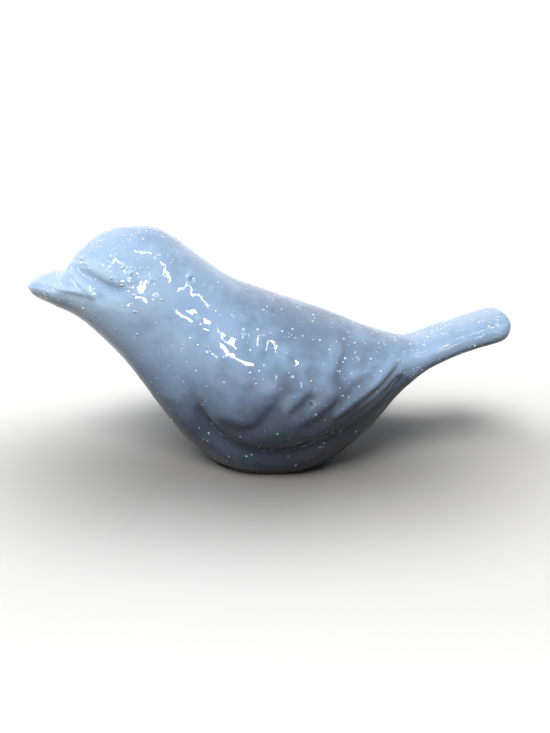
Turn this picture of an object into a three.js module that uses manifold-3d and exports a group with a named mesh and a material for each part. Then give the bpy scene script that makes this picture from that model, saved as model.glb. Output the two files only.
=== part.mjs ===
// A ceramic bird figurine in millimetres, glazed pale blue, standing on a bare clay foot.
//
// It is put together as the clay was: a hollow cast body, with a beak, a tail, two wing reliefs,
// two eye pellets and a foot ring set on it. A thin layer of joining slip lies in every joint,
// and shows here as a narrow clearance. The bird faces -X, its left flank faces -Y, +Z is up,
// and the origin lies in the plane it stands on, in the middle of its length.

import * as THREE from 'three';
import { mergeVertices } from 'three/addons/utils/BufferGeometryUtils.js';
import Module from 'manifold-3d';

// Reach and widths. The x places below count from the middle of the foot.
const BEAK_REACH = 64;
const TAIL_REACH = 62.5;
const CROWN_HEIGHT = 65.3;
const CROWN_X = -35;
const BODY_WIDTH = 49.6;
const HEAD_WIDTH = 35;
const TAIL_WIDTH = 20.4;
const TAIL_THICKNESS = 7.9;
const TAIL_END_HEIGHT = 41.9;
const TAIL_SLOPE = THREE.MathUtils.degToRad(18);

// Clay: the cast wall, the slip in the joints, and the vent that lets the kiln's air out.
const WALL = 4;
const SLIP_GAP = 0.3;
const VENT_DIAMETER = 8;
const CAVITY_END_ROUND = 9;
const CAVITY_LEAST_REACH = 1;

// The foot: a low oval ring under the flat cut belly.
const BELLY_DROP = 4;
const FOOT_HEIGHT = 1;
const FOOT_LENGTH = 31;
const FOOT_WIDTH = 25;
const FOOT_LAND = 5;
const FOOT_SQUARENESS = 2.3;

// Joints of the beak and the tail.
const GAPE_X = -42.8;
const GAPE_HEIGHT = 50;
const BEAK_ROOT_TOP_X = -50.5;
const BEAK_ROOT_TOP_HEIGHT = 56;
const BEAK_ROOT_THROAT_X = -49;
const BEAK_ROOT_THROAT_HEIGHT = 40;
const TAIL_JOINT_X = 35.5;
const TAIL_JOINT_HEIGHT = 28;

// Rounded ends of the beak and the tail.
const NOSE_ROUND = 4;
const TAIL_CORNER_RADIUS = 4;
const TAIL_EDGE_RADIUS = 3;

// Wings: how far they stand out and how deep they are let into the flank.
const WING_RISE = 1.3;
const WING_EDGE_ROUND = 1.6;
const WING_TOP_FADE = 9;
const WING_FRONT_FADE = 12;
const WING_SEAT_DEPTH = 1.2;
const WING_EDGE_SHARE = 0.6;
const FEATHER_LIFT = 1;
const FEATHER_LEAST_WIDTH = 0.5;

// Section across one feather, as shares of its width: where it is highest, where it turns down to
// the next one, how much of its height it then loses, and the height that counts as the wing's own.
const FEATHER_CREST = 0.75;
const FEATHER_LIP = 0.86;
const FEATHER_DROP = 0.85;
const FEATHER_MIDDLE = 0.6;

// Coverts: rows of scallops ringed about the shoulder.
const SHOULDER_X = -13.5;
const SHOULDER_HEIGHT = 33.6;
const SHOULDER_RADIUS = 9;
const SCALLOP_ROW_PITCH = 7.2;
const SCALLOP_ROWS = 3;
const SCALLOP_BULGE = 1.8;
const SCALLOP_WIDTH = 11;
const SCALLOP_TURN = THREE.MathUtils.degToRad(12);
const SCALLOP_FACING = THREE.MathUtils.degToRad(-29);
const SCALLOP_FADE_FROM = -0.6;
const SCALLOP_FADE_TO = 0.2;

// Face: eye pellets, the hollow in front of each eye and the cheek below it.
const EYE_X = -33.8;
const EYE_HEIGHT = 54.6;
const EYE_DIAMETER = 4.8;
const EYE_RISE = 0.9;
const EYE_SEAT_DEPTH = 1.1;
const LORE_DEPTH = 1.3;
const LORE_WIDTH = 1.9;
const CHEEK_RISE = 0.8;
const CHEEK_X = -30;
const CHEEK_HEIGHT = 47.5;
const CHEEK_RADIUS = 5;

// Fineness of the faceted clay surfaces.
const FORM_SLICES = 60;
const FORM_SIDES = 40;
const CAVITY_SLICES = 22;
const CAVITY_SIDES = 20;
const WING_COLUMNS = 46;
const WING_ROWS = 19;
const SEAT_ROWS = 4;
const EYE_SIDES = 28;
const EYE_STEPS = 6;
const VENT_SIDES = 32;
const FOOT_SIDES = 48;
const SLICE_CROWDING = 0.6;
const TIP_INSET = NOSE_ROUND / 100;
const LEAST_SQUARENESS = 1.1;
const SLOPE_PROBE = 0.5;
const SHARPEST_CORNER = 0.5;
const MERGE_DISTANCE = 1e-4;

// Outlines as [x, value] points: back and belly in side view, half width in plan.
const TIP_X = -BEAK_REACH;
const BACK_LINE = [
  [TIP_X + 2, 52.4],
  [TIP_X + 6, 53.8],
  [-54, 54.8],
  [-50, 59.2],
  [-45, 63],
  [CROWN_X, CROWN_HEIGHT],
  [-28, 64.4],
  [-20, 58.5],
  [-12, 52.5],
  [0, 47.6],
  [16, 41.8],
  [30, 36.1],
  [38, 34.4],
  [46, 36.9],
  [TAIL_REACH, TAIL_END_HEIGHT],
];
const BELLY_LINE = [
  [TIP_X + 2, 47.8],
  [TIP_X + 8, 44.9],
  [-50, 41.8],
  [-44, 36],
  [-38, 28.6],
  [-30, 15.4],
  [-24, 6.2],
  [-18, 0.6],
  [-10, 1 - BELLY_DROP],
  [0, -BELLY_DROP],
  [10, 1 - BELLY_DROP],
  [18, 1],
  [26, 8.5],
  [34, 18.8],
  [40, 25.2],
  [46, 28.6],
  [TAIL_REACH, TAIL_END_HEIGHT - TAIL_THICKNESS],
];
const HALF_WIDTH_LINE = [
  [TIP_X + 2, 4.6],
  [TIP_X + 8, 8.4],
  [-50, 11.2],
  [-44, 14.4],
  [-36, HEAD_WIDTH / 2 - 0.6],
  [-28, HEAD_WIDTH / 2],
  [-20, 19.4],
  [-10, BODY_WIDTH / 2 - 1.6],
  [0, BODY_WIDTH / 2],
  [10, BODY_WIDTH / 2 - 0.8],
  [20, 20.3],
  [28, 15.8],
  [34, 12.4],
  [40, TAIL_WIDTH / 2 + 0.4],
  [48, TAIL_WIDTH / 2],
  [TAIL_REACH, TAIL_WIDTH / 2],
];

// Where the widest line lies between belly and back, and how square each slice is (2 is an ellipse).
const WAIST_SHARE_LINE = [
  [TIP_X, 0.66],
  [TIP_X + 8, 0.6],
  [-50, 0.51],
  [-42, 0.52],
  [0, 0.5],
  [TAIL_REACH, 0.5],
];
const SQUARENESS_LINE = [
  [TIP_X, 1.25],
  [-54, 1.3],
  [-46, 1.85],
  [-38, 2.1],
  [0, 2.1],
  [28, 2.1],
  [42, 2.6],
  [TAIL_REACH, 2.6],
];

// Wing outline on the flank, from the front of the shoulder round to the tip, as [x, height].
const WING_FRONT = [-20.6, 32];
const WING_TIP = [34.2, 32.4];
const WING_LOWER_EDGE = [
  WING_FRONT,
  [-19.8, 25],
  [-15.6, 16.4],
  [-6, 11.4],
  [4, 11.8],
  [14, 15.6],
  [24, 17.6],
  [31, 23],
  WING_TIP,
];
const WING_UPPER_EDGE = [
  WING_FRONT,
  [-18.6, 38],
  [-10, 43],
  [4, 42],
  [18, 38],
  [28, 34.8],
  WING_TIP,
];

// Lower edges of the two upper long feathers, as [x, height]; the wing's own edge bounds the third.
const UPPER_FEATHER_EDGE = [
  [17, 25.8],
  [22, 27.4],
  [27, 29.2],
  [34, 32],
];
const MIDDLE_FEATHER_EDGE = [
  [12, 17.4],
  [18, 18.8],
  [24, 22],
  [30, 26.2],
  [34, 31],
];

// The hollow that runs from the beak to below the eye, as [x, height].
const LORE_PATH = [
  [-47.5, 56.2],
  [-43.4, 55.6],
  [-40, 53.6],
  [-36, 51.6],
];

// A smooth function through [x, value] points, straight beyond the first and the last.
function curveThrough(points) {
  const p = [...points].sort((a, b) => a[0] - b[0]).filter((q, i, all) => i === 0 || q[0] > all[i - 1][0]);
  const last = p.length - 1;
  const rise = [];
  for (let i = 0; i < last; i++) {
    rise.push((p[i + 1][1] - p[i][1]) / (p[i + 1][0] - p[i][0]));
  }
  const slopes = p.map((q, i) => {
    if (i === 0 || i === last) {
      return rise[Math.min(i, last - 1)];
    }
    const before = q[0] - p[i - 1][0];
    const after = p[i + 1][0] - q[0];
    return (after * rise[i - 1] + before * rise[i]) / (before + after);
  });
  return (x) => {
    if (x <= p[0][0]) {
      return p[0][1] + slopes[0] * (x - p[0][0]);
    }
    if (x >= p[last][0]) {
      return p[last][1] + slopes[last] * (x - p[last][0]);
    }
    const i = p.findIndex((q) => q[0] > x) - 1;
    const span = p[i + 1][0] - p[i][0];
    const t = (x - p[i][0]) / span;
    const s = 1 - t;
    return (
      p[i][1] * s * s * (1 + 2 * t) +
      slopes[i] * span * t * s * s +
      p[i + 1][1] * t * t * (1 + 2 * s) -
      slopes[i + 1] * span * t * t * s
    );
  };
}

const { clamp, lerp, smoothstep } = THREE.MathUtils;
const backHeight = curveThrough(BACK_LINE);
const bellyHeight = curveThrough(BELLY_LINE);
const halfWidth = curveThrough(HALF_WIDTH_LINE);
const waistShare = curveThrough(WAIST_SHARE_LINE);
const squareness = curveThrough(SQUARENESS_LINE);

// The slope of a line or of any function of one place, measured across a short probe.
function slopeOf(line, x) {
  return (line(x + SLOPE_PROBE) - line(x - SLOPE_PROBE)) / (2 * SLOPE_PROBE);
}

// How much a quarter round of this radius takes off, at a depth between 0 and 1 into it.
function quarterRound(radius, depth) {
  const d = clamp(depth, 0, 1);
  return radius * (1 - Math.sqrt(1 - d * d));
}

// One slice across the bird: its widest line, and how far it reaches above, below and to each side.
function sliceAt(x) {
  const top = backHeight(x);
  const bottom = bellyHeight(x);
  const waist = lerp(bottom, top, waistShare(x));
  const intoNose = 1 - clamp((x - TIP_X) / NOSE_ROUND, 0, 1);
  const nose = Math.sqrt(1 - intoNose * intoNose);
  const corner = quarterRound(TAIL_CORNER_RADIUS, 1 - (TAIL_REACH - x) / TAIL_CORNER_RADIUS);
  const edge = quarterRound(TAIL_EDGE_RADIUS, 1 - (TAIL_REACH - x) / TAIL_EDGE_RADIUS);
  return {
    waist,
    side: halfWidth(x) * nose - corner,
    up: (top - waist) * nose - edge,
    down: (waist - bottom) * nose - edge,
    power: Math.max(squareness(x), LEAST_SQUARENESS),
  };
}

// Distance from a point of the flank to a path on it.
function distanceToPath(x, z, path) {
  let nearest = Infinity;
  for (let i = 1; i < path.length; i++) {
    const [ax, az] = path[i - 1];
    const [bx, bz] = path[i];
    const squaredLength = (bx - ax) ** 2 + (bz - az) ** 2;
    const along = clamp(((x - ax) * (bx - ax) + (z - az) * (bz - az)) / squaredLength, 0, 1);
    nearest = Math.min(nearest, Math.hypot(x - lerp(ax, bx, along), z - lerp(az, bz, along)));
  }
  return nearest;
}

// Modelling of the face: the hollow of the lore and the round of the cheek.
function faceRelief(x, z) {
  const lore = distanceToPath(x, z, LORE_PATH) / LORE_WIDTH;
  const cheek = Math.hypot(x - CHEEK_X, z - CHEEK_HEIGHT) / CHEEK_RADIUS;
  return CHEEK_RISE * Math.exp(-cheek * cheek) - LORE_DEPTH * Math.exp(-lore * lore);
}

// How far the plain flank stands from the middle plane at a place in side view.
function flankAt(x, z) {
  const slice = sliceAt(x);
  const reach = z > slice.waist ? slice.up : slice.down;
  const share = clamp(Math.abs(z - slice.waist) / reach, 0, 1);
  return slice.side * (1 - share ** slice.power) ** (1 / slice.power);
}

const wasm = await Module();
wasm.setup();

// A closed solid from corner points and the triangles between them.
function solidOf(corners, triangles) {
  const mesh = new wasm.Mesh({
    numProp: 3,
    vertProperties: new Float32Array(corners.flat()),
    triVerts: new Uint32Array(triangles.flat()),
  });
  return new wasm.Manifold(mesh);
}

function solidOfGeometry(geometry) {
  const bare = geometry.index ? geometry.toNonIndexed() : geometry.clone();
  bare.deleteAttribute('normal');
  bare.deleteAttribute('uv');
  const merged = mergeVertices(bare, MERGE_DISTANCE);
  const mesh = new wasm.Mesh({
    numProp: 3,
    vertProperties: new Float32Array(merged.attributes.position.array),
    triVerts: new Uint32Array(merged.index.array),
  });
  return new wasm.Manifold(mesh);
}

function geometryOf(solid) {
  const mesh = solid.getMesh();
  const geometry = new THREE.BufferGeometry();
  geometry.setAttribute('position', new THREE.BufferAttribute(new Float32Array(mesh.vertProperties), 3));
  geometry.setIndex(new THREE.BufferAttribute(new Uint32Array(mesh.triVerts), 1));
  return geometry;
}

// Skins a row of rings that all turn the same way about +X, and closes each end with a fan about a hub.
function loft(rings, hubs = []) {
  const sides = rings[0].length;
  const corners = rings.flat();
  const triangles = [];
  for (let r = 0; r + 1 < rings.length; r++) {
    for (let s = 0; s < sides; s++) {
      const a = r * sides + s;
      const b = r * sides + ((s + 1) % sides);
      triangles.push([a, b, a + sides], [b, b + sides, a + sides]);
    }
  }
  for (const end of [0, rings.length - 1]) {
    const ring = rings[end];
    const hub = corners.length;
    const middle = [0, 1, 2].map((axis) => ring.reduce((sum, q) => sum + q[axis], 0) / sides);
    corners.push((end === 0 ? hubs[0] : hubs[1]) ?? middle);
    for (let s = 0; s < sides; s++) {
      const a = end * sides + s;
      const b = end * sides + ((s + 1) % sides);
      triangles.push(end === 0 ? [b, a, hub] : [a, b, hub]);
    }
  }
  return solidOf(corners, triangles);
}

// A ring of points on a superellipse standing across X.
function sliceRing(x, slice, sides, relief) {
  const ring = [];
  for (let s = 0; s < sides; s++) {
    const turn = (2 * Math.PI * s) / sides;
    const wide = Math.sign(Math.cos(turn)) * Math.abs(Math.cos(turn)) ** (2 / slice.power);
    const high = Math.sign(Math.sin(turn)) * Math.abs(Math.sin(turn)) ** (2 / slice.power);
    const z = slice.waist + high * (high > 0 ? slice.up : slice.down);
    ring.push([x, wide * (slice.side + relief(x, z)), z]);
  }
  return ring;
}

// A prism through the whole bird, from a side view outline of [x, height] points.
function sidePrism(outline) {
  const reach = BODY_WIDTH;
  const shape = new THREE.Shape(outline.map(([x, z]) => new THREE.Vector2(x, z)));
  const geometry = new THREE.ExtrudeGeometry(shape, { depth: 2 * reach, bevelEnabled: false });
  geometry.rotateX(Math.PI / 2);
  geometry.translate(0, reach, 0);
  return solidOfGeometry(geometry);
}

function uprightCylinder(radius, bottom, top) {
  const geometry = new THREE.CylinderGeometry(radius, radius, top - bottom, VENT_SIDES);
  geometry.rotateX(Math.PI / 2);
  geometry.translate(0, 0, (top + bottom) / 2);
  return solidOfGeometry(geometry);
}

// The whole bird's outer form, from which the body, the beak and the tail are cut. The slices
// crowd together towards both ends, where the form turns fastest.
function birdForm() {
  const rings = [];
  const length = BEAK_REACH + TAIL_REACH;
  for (let i = 0; i <= FORM_SLICES; i++) {
    const even = i / FORM_SLICES;
    const eased = even - (SLICE_CROWDING * Math.sin(2 * Math.PI * even)) / (2 * Math.PI);
    const x = TIP_X + Math.max(length * eased, TIP_INSET);
    rings.push(sliceRing(x, sliceAt(x), FORM_SIDES, faceRelief));
  }
  return loft(rings, [[TIP_X, 0, sliceAt(TIP_X).waist]]);
}

// The hollow left by the cast: the form drawn in by the wall, with rounded ends and a flat floor.
function bodyCavity() {
  const front = GAPE_X + WALL;
  const rear = TAIL_JOINT_X - 2 * WALL;
  const thick = (line, x) => WALL * Math.hypot(1, slopeOf(line, x));
  const rings = [];
  for (let i = 0; i <= CAVITY_SLICES; i++) {
    const x = lerp(front, rear, i / CAVITY_SLICES);
    const slice = sliceAt(x);
    const toEnd = Math.min(x - front, rear - x) / CAVITY_END_ROUND;
    const depth = 1 - clamp(toEnd, 0.01, 1);
    const open = Math.sqrt(1 - depth * depth);
    slice.side = Math.max(slice.side - thick(halfWidth, x), CAVITY_LEAST_REACH) * open;
    slice.up = Math.max(slice.up - thick(backHeight, x), CAVITY_LEAST_REACH) * open;
    slice.down = Math.max(slice.down - thick(bellyHeight, x), CAVITY_LEAST_REACH) * open;
    rings.push(sliceRing(x, slice, CAVITY_SIDES, () => 0));
  }
  const floor = FOOT_HEIGHT + WALL;
  return loft(rings).intersect(sidePrism([
    [TIP_X, floor],
    [TAIL_REACH, floor],
    [TAIL_REACH, CROWN_HEIGHT],
    [TIP_X, CROWN_HEIGHT],
  ]));
}

// Side view outline of the beak's seat: a wedge whose point is the gape, moved back by the clearance.
function beakWedge(clearance) {
  const far = TIP_X - CROWN_HEIGHT;
  const awayFromGape = (x, z) => new THREE.Vector2(x - GAPE_X, z - GAPE_HEIGHT).normalize();
  const top = awayFromGape(BEAK_ROOT_TOP_X, BEAK_ROOT_TOP_HEIGHT);
  const throat = awayFromGape(BEAK_ROOT_THROAT_X, BEAK_ROOT_THROAT_HEIGHT);
  const half = Math.acos(clamp(-top.dot(throat), -1, 1)) / 2;
  const gape = [GAPE_X + clearance / Math.cos(half), GAPE_HEIGHT];
  const reach = BEAK_REACH + CROWN_HEIGHT;
  return sidePrism([
    gape,
    [gape[0] + top.x * reach, gape[1] + top.y * reach],
    [far, CROWN_HEIGHT],
    [far, 0],
    [gape[0] + throat.x * reach, gape[1] + throat.y * reach],
  ]);
}

// Everything behind the tail's joint, which lies square to the tail and is moved by the clearance.
function behindTailJoint(clearance) {
  const run = Math.tan(TAIL_SLOPE);
  const shift = clearance / Math.cos(TAIL_SLOPE);
  const at = (z) => TAIL_JOINT_X - (z - TAIL_JOINT_HEIGHT) * run - shift;
  const top = 2 * CROWN_HEIGHT;
  const far = 2 * TAIL_REACH;
  return sidePrism([
    [at(-BELLY_DROP), -BELLY_DROP],
    [far, -BELLY_DROP],
    [far, top],
    [at(top), top],
  ]);
}

const lowerWingEdge = curveThrough(WING_LOWER_EDGE.slice(1));
const upperWingEdge = curveThrough(WING_UPPER_EDGE.slice(1));
const upperFeatherEdge = curveThrough(UPPER_FEATHER_EDGE);
const middleFeatherEdge = curveThrough(MIDDLE_FEATHER_EDGE);

// Height of an overlapping feather, from 0 in the groove above it to 1 near its own edge.
function shingle(share) {
  return smoothstep(share, 0, FEATHER_CREST) * (1 - FEATHER_DROP * smoothstep(share, FEATHER_LIP, 1));
}

// Outer radius of one row of scallops about the shoulder, in a given direction.
function scallopEdge(row, turn) {
  const radius = SHOULDER_RADIUS + row * SCALLOP_ROW_PITCH;
  const lobe = ((turn - SCALLOP_TURN) * radius) / SCALLOP_WIDTH + row / 2;
  const across = 2 * (lobe - Math.floor(lobe)) - 1;
  return radius + SCALLOP_BULGE * (1 - across * across) - SCALLOP_BULGE / 2;
}

// Coverts: rows of scallops, each row tucked under the one nearer the shoulder. All but the first
// fade out above and in front of the shoulder, where the glaze has filled them.
function covertRelief(x, z) {
  const radius = Math.hypot(x - SHOULDER_X, z - SHOULDER_HEIGHT);
  const turn = Math.atan2(z - SHOULDER_HEIGHT, x - SHOULDER_X);
  let inner = 0;
  for (let row = 0; row <= SCALLOP_ROWS; row++) {
    const outer = scallopEdge(row, turn);
    if (radius <= outer) {
      const facing = Math.cos(turn - SCALLOP_FACING);
      const strength = row === 0 ? 1 : smoothstep(facing, SCALLOP_FADE_FROM, SCALLOP_FADE_TO);
      return { past: false, height: 1 + strength * (shingle((radius - inner) / (outer - inner)) - 1) };
    }
    inner = outer;
  }
  return { past: true, height: 0 };
}

// Long feathers: three, one over the other, running back to the wing's tip.
function longFeatherRelief(x, z) {
  const edges = [upperWingEdge(x), upperFeatherEdge(x), middleFeatherEdge(x), lowerWingEdge(x)];
  for (let i = 1; i < edges.length; i++) {
    if (z >= edges[i] || i === edges.length - 1) {
      const width = Math.max(edges[i - 1] - edges[i], FEATHER_LEAST_WIDTH);
      return shingle(clamp((edges[i - 1] - z) / width, 0, 1));
    }
  }
  return 0;
}

// How far the wing stands out from the plain flank.
function wingRelief(x, z, fromLowerEdge, fromUpperEdge) {
  const covert = covertRelief(x, z);
  const feathers = covert.past ? longFeatherRelief(x, z) : covert.height;
  const round = 1 - quarterRound(1, 1 - fromLowerEdge / WING_EDGE_ROUND);
  const fromFront = Math.hypot(x - WING_FRONT[0], z - WING_FRONT[1]);
  const fade = smoothstep(fromUpperEdge, 0, WING_TOP_FADE) * smoothstep(fromFront, 0, WING_FRONT_FADE);
  const rise = WING_RISE * (1 - WING_EDGE_SHARE + WING_EDGE_SHARE * round);
  return fade * (rise + FEATHER_LIFT * (feathers - FEATHER_MIDDLE));
}

// Points along a wing edge and their outward directions within the flank.
function edgePoints(edge, outwardSign) {
  const curve = new THREE.SplineCurve(edge.map(([x, z]) => new THREE.Vector2(x, z)));
  const points = [];
  for (let i = 0; i <= WING_COLUMNS; i++) {
    const tangent = curve.getTangentAt(i / WING_COLUMNS);
    const outward = new THREE.Vector2(-tangent.y, tangent.x).multiplyScalar(outwardSign);
    points.push({ at: curve.getPointAt(i / WING_COLUMNS), outward });
  }
  return points;
}

// A patch of the flank between the wing's edges, grown by a clearance: a grid that is pointed at both ends.
function wingPatch(rows, clearance, depthAt) {
  const low = edgePoints(WING_LOWER_EDGE, -1);
  const high = edgePoints(WING_UPPER_EDGE, 1);
  const points = [];
  const index = [];
  for (let c = 0; c <= WING_COLUMNS; c++) {
    index.push([]);
    const pointed = c === 0 || c === WING_COLUMNS;
    const both = low[c].outward.clone().add(high[c].outward);
    const sharpness = Math.max(both.lengthSq(), SHARPEST_CORNER);
    const corner = both.clone().multiplyScalar((2 * clearance) / sharpness);
    const shiftOf = (outward) => (pointed ? corner : outward.clone().multiplyScalar(clearance));
    const grown = ({ at, outward }) => at.clone().add(shiftOf(outward));
    const from = grown(low[c]);
    const to = grown(high[c]);
    const span = from.distanceTo(to);
    for (let r = 0; r <= rows; r++) {
      if (pointed && r > 0) {
        index[c].push(index[c][0]);
        continue;
      }
      const at = from.clone().lerp(to, r / rows);
      index[c].push(points.length);
      points.push([at.x, depthAt(at.x, at.y, (span * r) / rows, span * (1 - r / rows)), at.y]);
    }
  }
  return { points, index };
}

// A slab between an outer and an inner patch that share the same border.
function wingSlab(side, outer, inner) {
  const corners = [...outer.points, ...inner.points].map(([x, y, z]) => [x, side * y, z]);
  const shift = outer.points.length;
  const triangles = [];
  const face = (a, b, c) => {
    if (a !== b && b !== c && c !== a) {
      triangles.push(side > 0 ? [a, b, c] : [a, c, b]);
    }
  };
  const skin = (index, offset, outward) => {
    const rows = index[0].length - 1;
    for (let c = 0; c < WING_COLUMNS; c++) {
      for (let r = 0; r < rows; r++) {
        const quad = [index[c][r], index[c + 1][r], index[c][r + 1], index[c + 1][r + 1]];
        const [a, b, d, e] = quad.map((i) => i + offset);
        if (outward) {
          face(a, d, b);
          face(b, d, e);
        } else {
          face(a, b, d);
          face(b, e, d);
        }
      }
    }
  };
  skin(outer.index, 0, true);
  skin(inner.index, shift, false);
  for (let c = 0; c < WING_COLUMNS; c++) {
    for (const lower of [true, false]) {
      const pick = (index, column) => (lower ? index[column][0] : index[column][index[column].length - 1]);
      const [a, b] = [pick(outer.index, c), pick(outer.index, c + 1)];
      const [d, e] = [pick(inner.index, c) + shift, pick(inner.index, c + 1) + shift];
      if (lower) {
        face(a, b, e);
        face(a, e, d);
      } else {
        face(a, e, b);
        face(a, d, e);
      }
    }
  }
  return solidOf(corners, triangles);
}

// One wing: feathered outside, and inside it follows the flank at the depth of its seat.
function wingSolid(side) {
  const feathered = (x, z, lower, upper) => flankAt(x, z) + wingRelief(x, z, lower, upper);
  const outer = wingPatch(WING_ROWS, 0, feathered);
  const inner = wingPatch(SEAT_ROWS, 0, (x, z) => flankAt(x, z) - WING_SEAT_DEPTH);
  return wingSlab(side, outer, inner);
}

// The recess that a wing is luted into, larger by the slip all round.
function wingSeat(side) {
  const outer = wingPatch(SEAT_ROWS, SLIP_GAP, () => BODY_WIDTH);
  const inner = wingPatch(SEAT_ROWS, SLIP_GAP, (x, z) => flankAt(x, z) - WING_SEAT_DEPTH - SLIP_GAP);
  return wingSlab(side, outer, inner);
}

// A round pellet of clay pressed square on to the head, or the socket for it.
function eyePellet(side, grow, rise) {
  const radius = EYE_DIAMETER / 2 + grow;
  const profile = [
    [0, -EYE_SEAT_DEPTH - grow],
    [radius, -EYE_SEAT_DEPTH - grow],
    [radius, 0],
  ];
  for (let i = 1; i <= EYE_STEPS; i++) {
    const turn = (Math.PI / 2) * (i / EYE_STEPS);
    profile.push([i === EYE_STEPS ? 0 : radius * Math.cos(turn), rise * Math.sin(turn)]);
  }
  const geometry = new THREE.LatheGeometry(profile.map(([r, h]) => new THREE.Vector2(r, h)), EYE_SIDES);
  const run = slopeOf((x) => flankAt(x, EYE_HEIGHT), EYE_X);
  const lean = slopeOf((z) => flankAt(EYE_X, z), EYE_HEIGHT);
  const outward = new THREE.Vector3(-run, side, -lean).normalize();
  geometry.applyQuaternion(new THREE.Quaternion().setFromUnitVectors(new THREE.Vector3(0, 1, 0), outward));
  geometry.translate(EYE_X, side * (flankAt(EYE_X, EYE_HEIGHT) + faceRelief(EYE_X, EYE_HEIGHT)), EYE_HEIGHT);
  return solidOfGeometry(geometry);
}

// An oval in plan, between an ellipse and a rectangle.
function oval(length, width) {
  const points = [];
  for (let i = 0; i < FOOT_SIDES; i++) {
    const turn = (2 * Math.PI * i) / FOOT_SIDES;
    const along = Math.sign(Math.cos(turn)) * Math.abs(Math.cos(turn)) ** (2 / FOOT_SQUARENESS);
    const across = Math.sign(Math.sin(turn)) * Math.abs(Math.sin(turn)) ** (2 / FOOT_SQUARENESS);
    points.push(new THREE.Vector2((along * length) / 2, (across * width) / 2));
  }
  return points;
}

// The foot: a flat ring of bare clay round the vent.
function footGeometry() {
  const shape = new THREE.Shape(oval(FOOT_LENGTH, FOOT_WIDTH));
  shape.holes.push(new THREE.Path(oval(FOOT_LENGTH - 2 * FOOT_LAND, FOOT_WIDTH - 2 * FOOT_LAND)));
  return new THREE.ExtrudeGeometry(shape, { depth: FOOT_HEIGHT, bevelEnabled: false });
}

// The hollow body: torso and head in one cast, with the seats for all that is set on it.
function bodySolid(form) {
  const aboveFoot = sidePrism([
    [2 * TIP_X, FOOT_HEIGHT],
    [2 * TAIL_REACH, FOOT_HEIGHT],
    [2 * TAIL_REACH, 2 * CROWN_HEIGHT],
    [2 * TIP_X, 2 * CROWN_HEIGHT],
  ]);
  let body = form.intersect(aboveFoot);
  body = body.subtract(beakWedge(SLIP_GAP));
  body = body.subtract(behindTailJoint(SLIP_GAP));
  body = body.subtract(bodyCavity());
  body = body.subtract(uprightCylinder(VENT_DIAMETER / 2, 0, FOOT_HEIGHT + 2 * WALL));
  for (const side of [-1, 1]) {
    body = body.subtract(wingSeat(side));
    body = body.subtract(eyePellet(side, SLIP_GAP, EYE_RISE + BODY_WIDTH / 2));
  }
  return body;
}

// The tail, butted on to the body, with the wing tips let into its root.
function tailSolid(form) {
  const seated = form.intersect(behindTailJoint(0));
  return seated.subtract(wingSeat(-1)).subtract(wingSeat(1));
}

function glaze(color) {
  return new THREE.MeshStandardMaterial({ color, roughness: 0.12, metalness: 0 });
}

function bareClay() {
  return new THREE.MeshStandardMaterial({ color: 0xcdbfa8, roughness: 0.9, metalness: 0 });
}

const bird = new THREE.Group();
bird.position.x = (BEAK_REACH - TAIL_REACH) / 2;

function addPiece(name, geometry, material) {
  const piece = new THREE.Mesh(geometry, material);
  piece.name = name;
  bird.add(piece);
}

const form = birdForm();
addPiece('body_shell', geometryOf(bodySolid(form)), glaze(0x7d9cc4));
addPiece('beak', geometryOf(form.intersect(beakWedge(0))), glaze(0x86a5cc));
addPiece('tail', geometryOf(tailSolid(form)), glaze(0x7d9cc4));
for (const [word, side] of [['left', -1], ['right', 1]]) {
  addPiece(`${word}_wing`, geometryOf(wingSolid(side)), glaze(0x7393bd));
  addPiece(`${word}_eye`, geometryOf(eyePellet(side, 0, EYE_RISE)), glaze(0x6d8db8));
}
addPiece('foot_ring', footGeometry(), bareClay());

export default bird;
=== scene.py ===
"""A glossy blue ceramic songbird on a bare clay foot, dressed over its packed construction.

The clay form is laid out once, as one closed skin in millimetres. Feathers and face are modelled on
it, the glaze is floated over it, and it is then parted where the clay pieces were joined.
"""

import math

import bpy
import numpy as np
from mathutils import Matrix, Vector, noise


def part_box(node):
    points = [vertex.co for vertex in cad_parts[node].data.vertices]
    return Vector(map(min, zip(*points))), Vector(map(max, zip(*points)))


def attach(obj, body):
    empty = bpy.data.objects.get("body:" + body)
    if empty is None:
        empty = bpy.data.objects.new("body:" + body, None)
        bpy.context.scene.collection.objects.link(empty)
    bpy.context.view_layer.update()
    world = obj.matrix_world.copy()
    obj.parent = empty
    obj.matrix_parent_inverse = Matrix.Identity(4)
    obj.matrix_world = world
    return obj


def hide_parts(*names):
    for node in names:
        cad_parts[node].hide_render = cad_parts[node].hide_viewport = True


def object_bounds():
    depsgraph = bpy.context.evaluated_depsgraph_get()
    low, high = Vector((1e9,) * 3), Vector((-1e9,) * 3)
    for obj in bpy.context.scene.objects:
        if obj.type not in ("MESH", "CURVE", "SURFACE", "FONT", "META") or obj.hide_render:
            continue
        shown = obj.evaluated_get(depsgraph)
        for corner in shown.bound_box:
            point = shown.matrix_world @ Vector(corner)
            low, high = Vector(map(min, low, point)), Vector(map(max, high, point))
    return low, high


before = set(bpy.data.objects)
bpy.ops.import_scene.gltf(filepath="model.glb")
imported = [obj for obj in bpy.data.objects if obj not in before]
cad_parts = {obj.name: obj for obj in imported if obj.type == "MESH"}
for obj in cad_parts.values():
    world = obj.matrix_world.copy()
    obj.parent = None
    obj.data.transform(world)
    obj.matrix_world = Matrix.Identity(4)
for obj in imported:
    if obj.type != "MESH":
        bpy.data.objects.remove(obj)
cad_low, cad_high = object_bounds()


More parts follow.
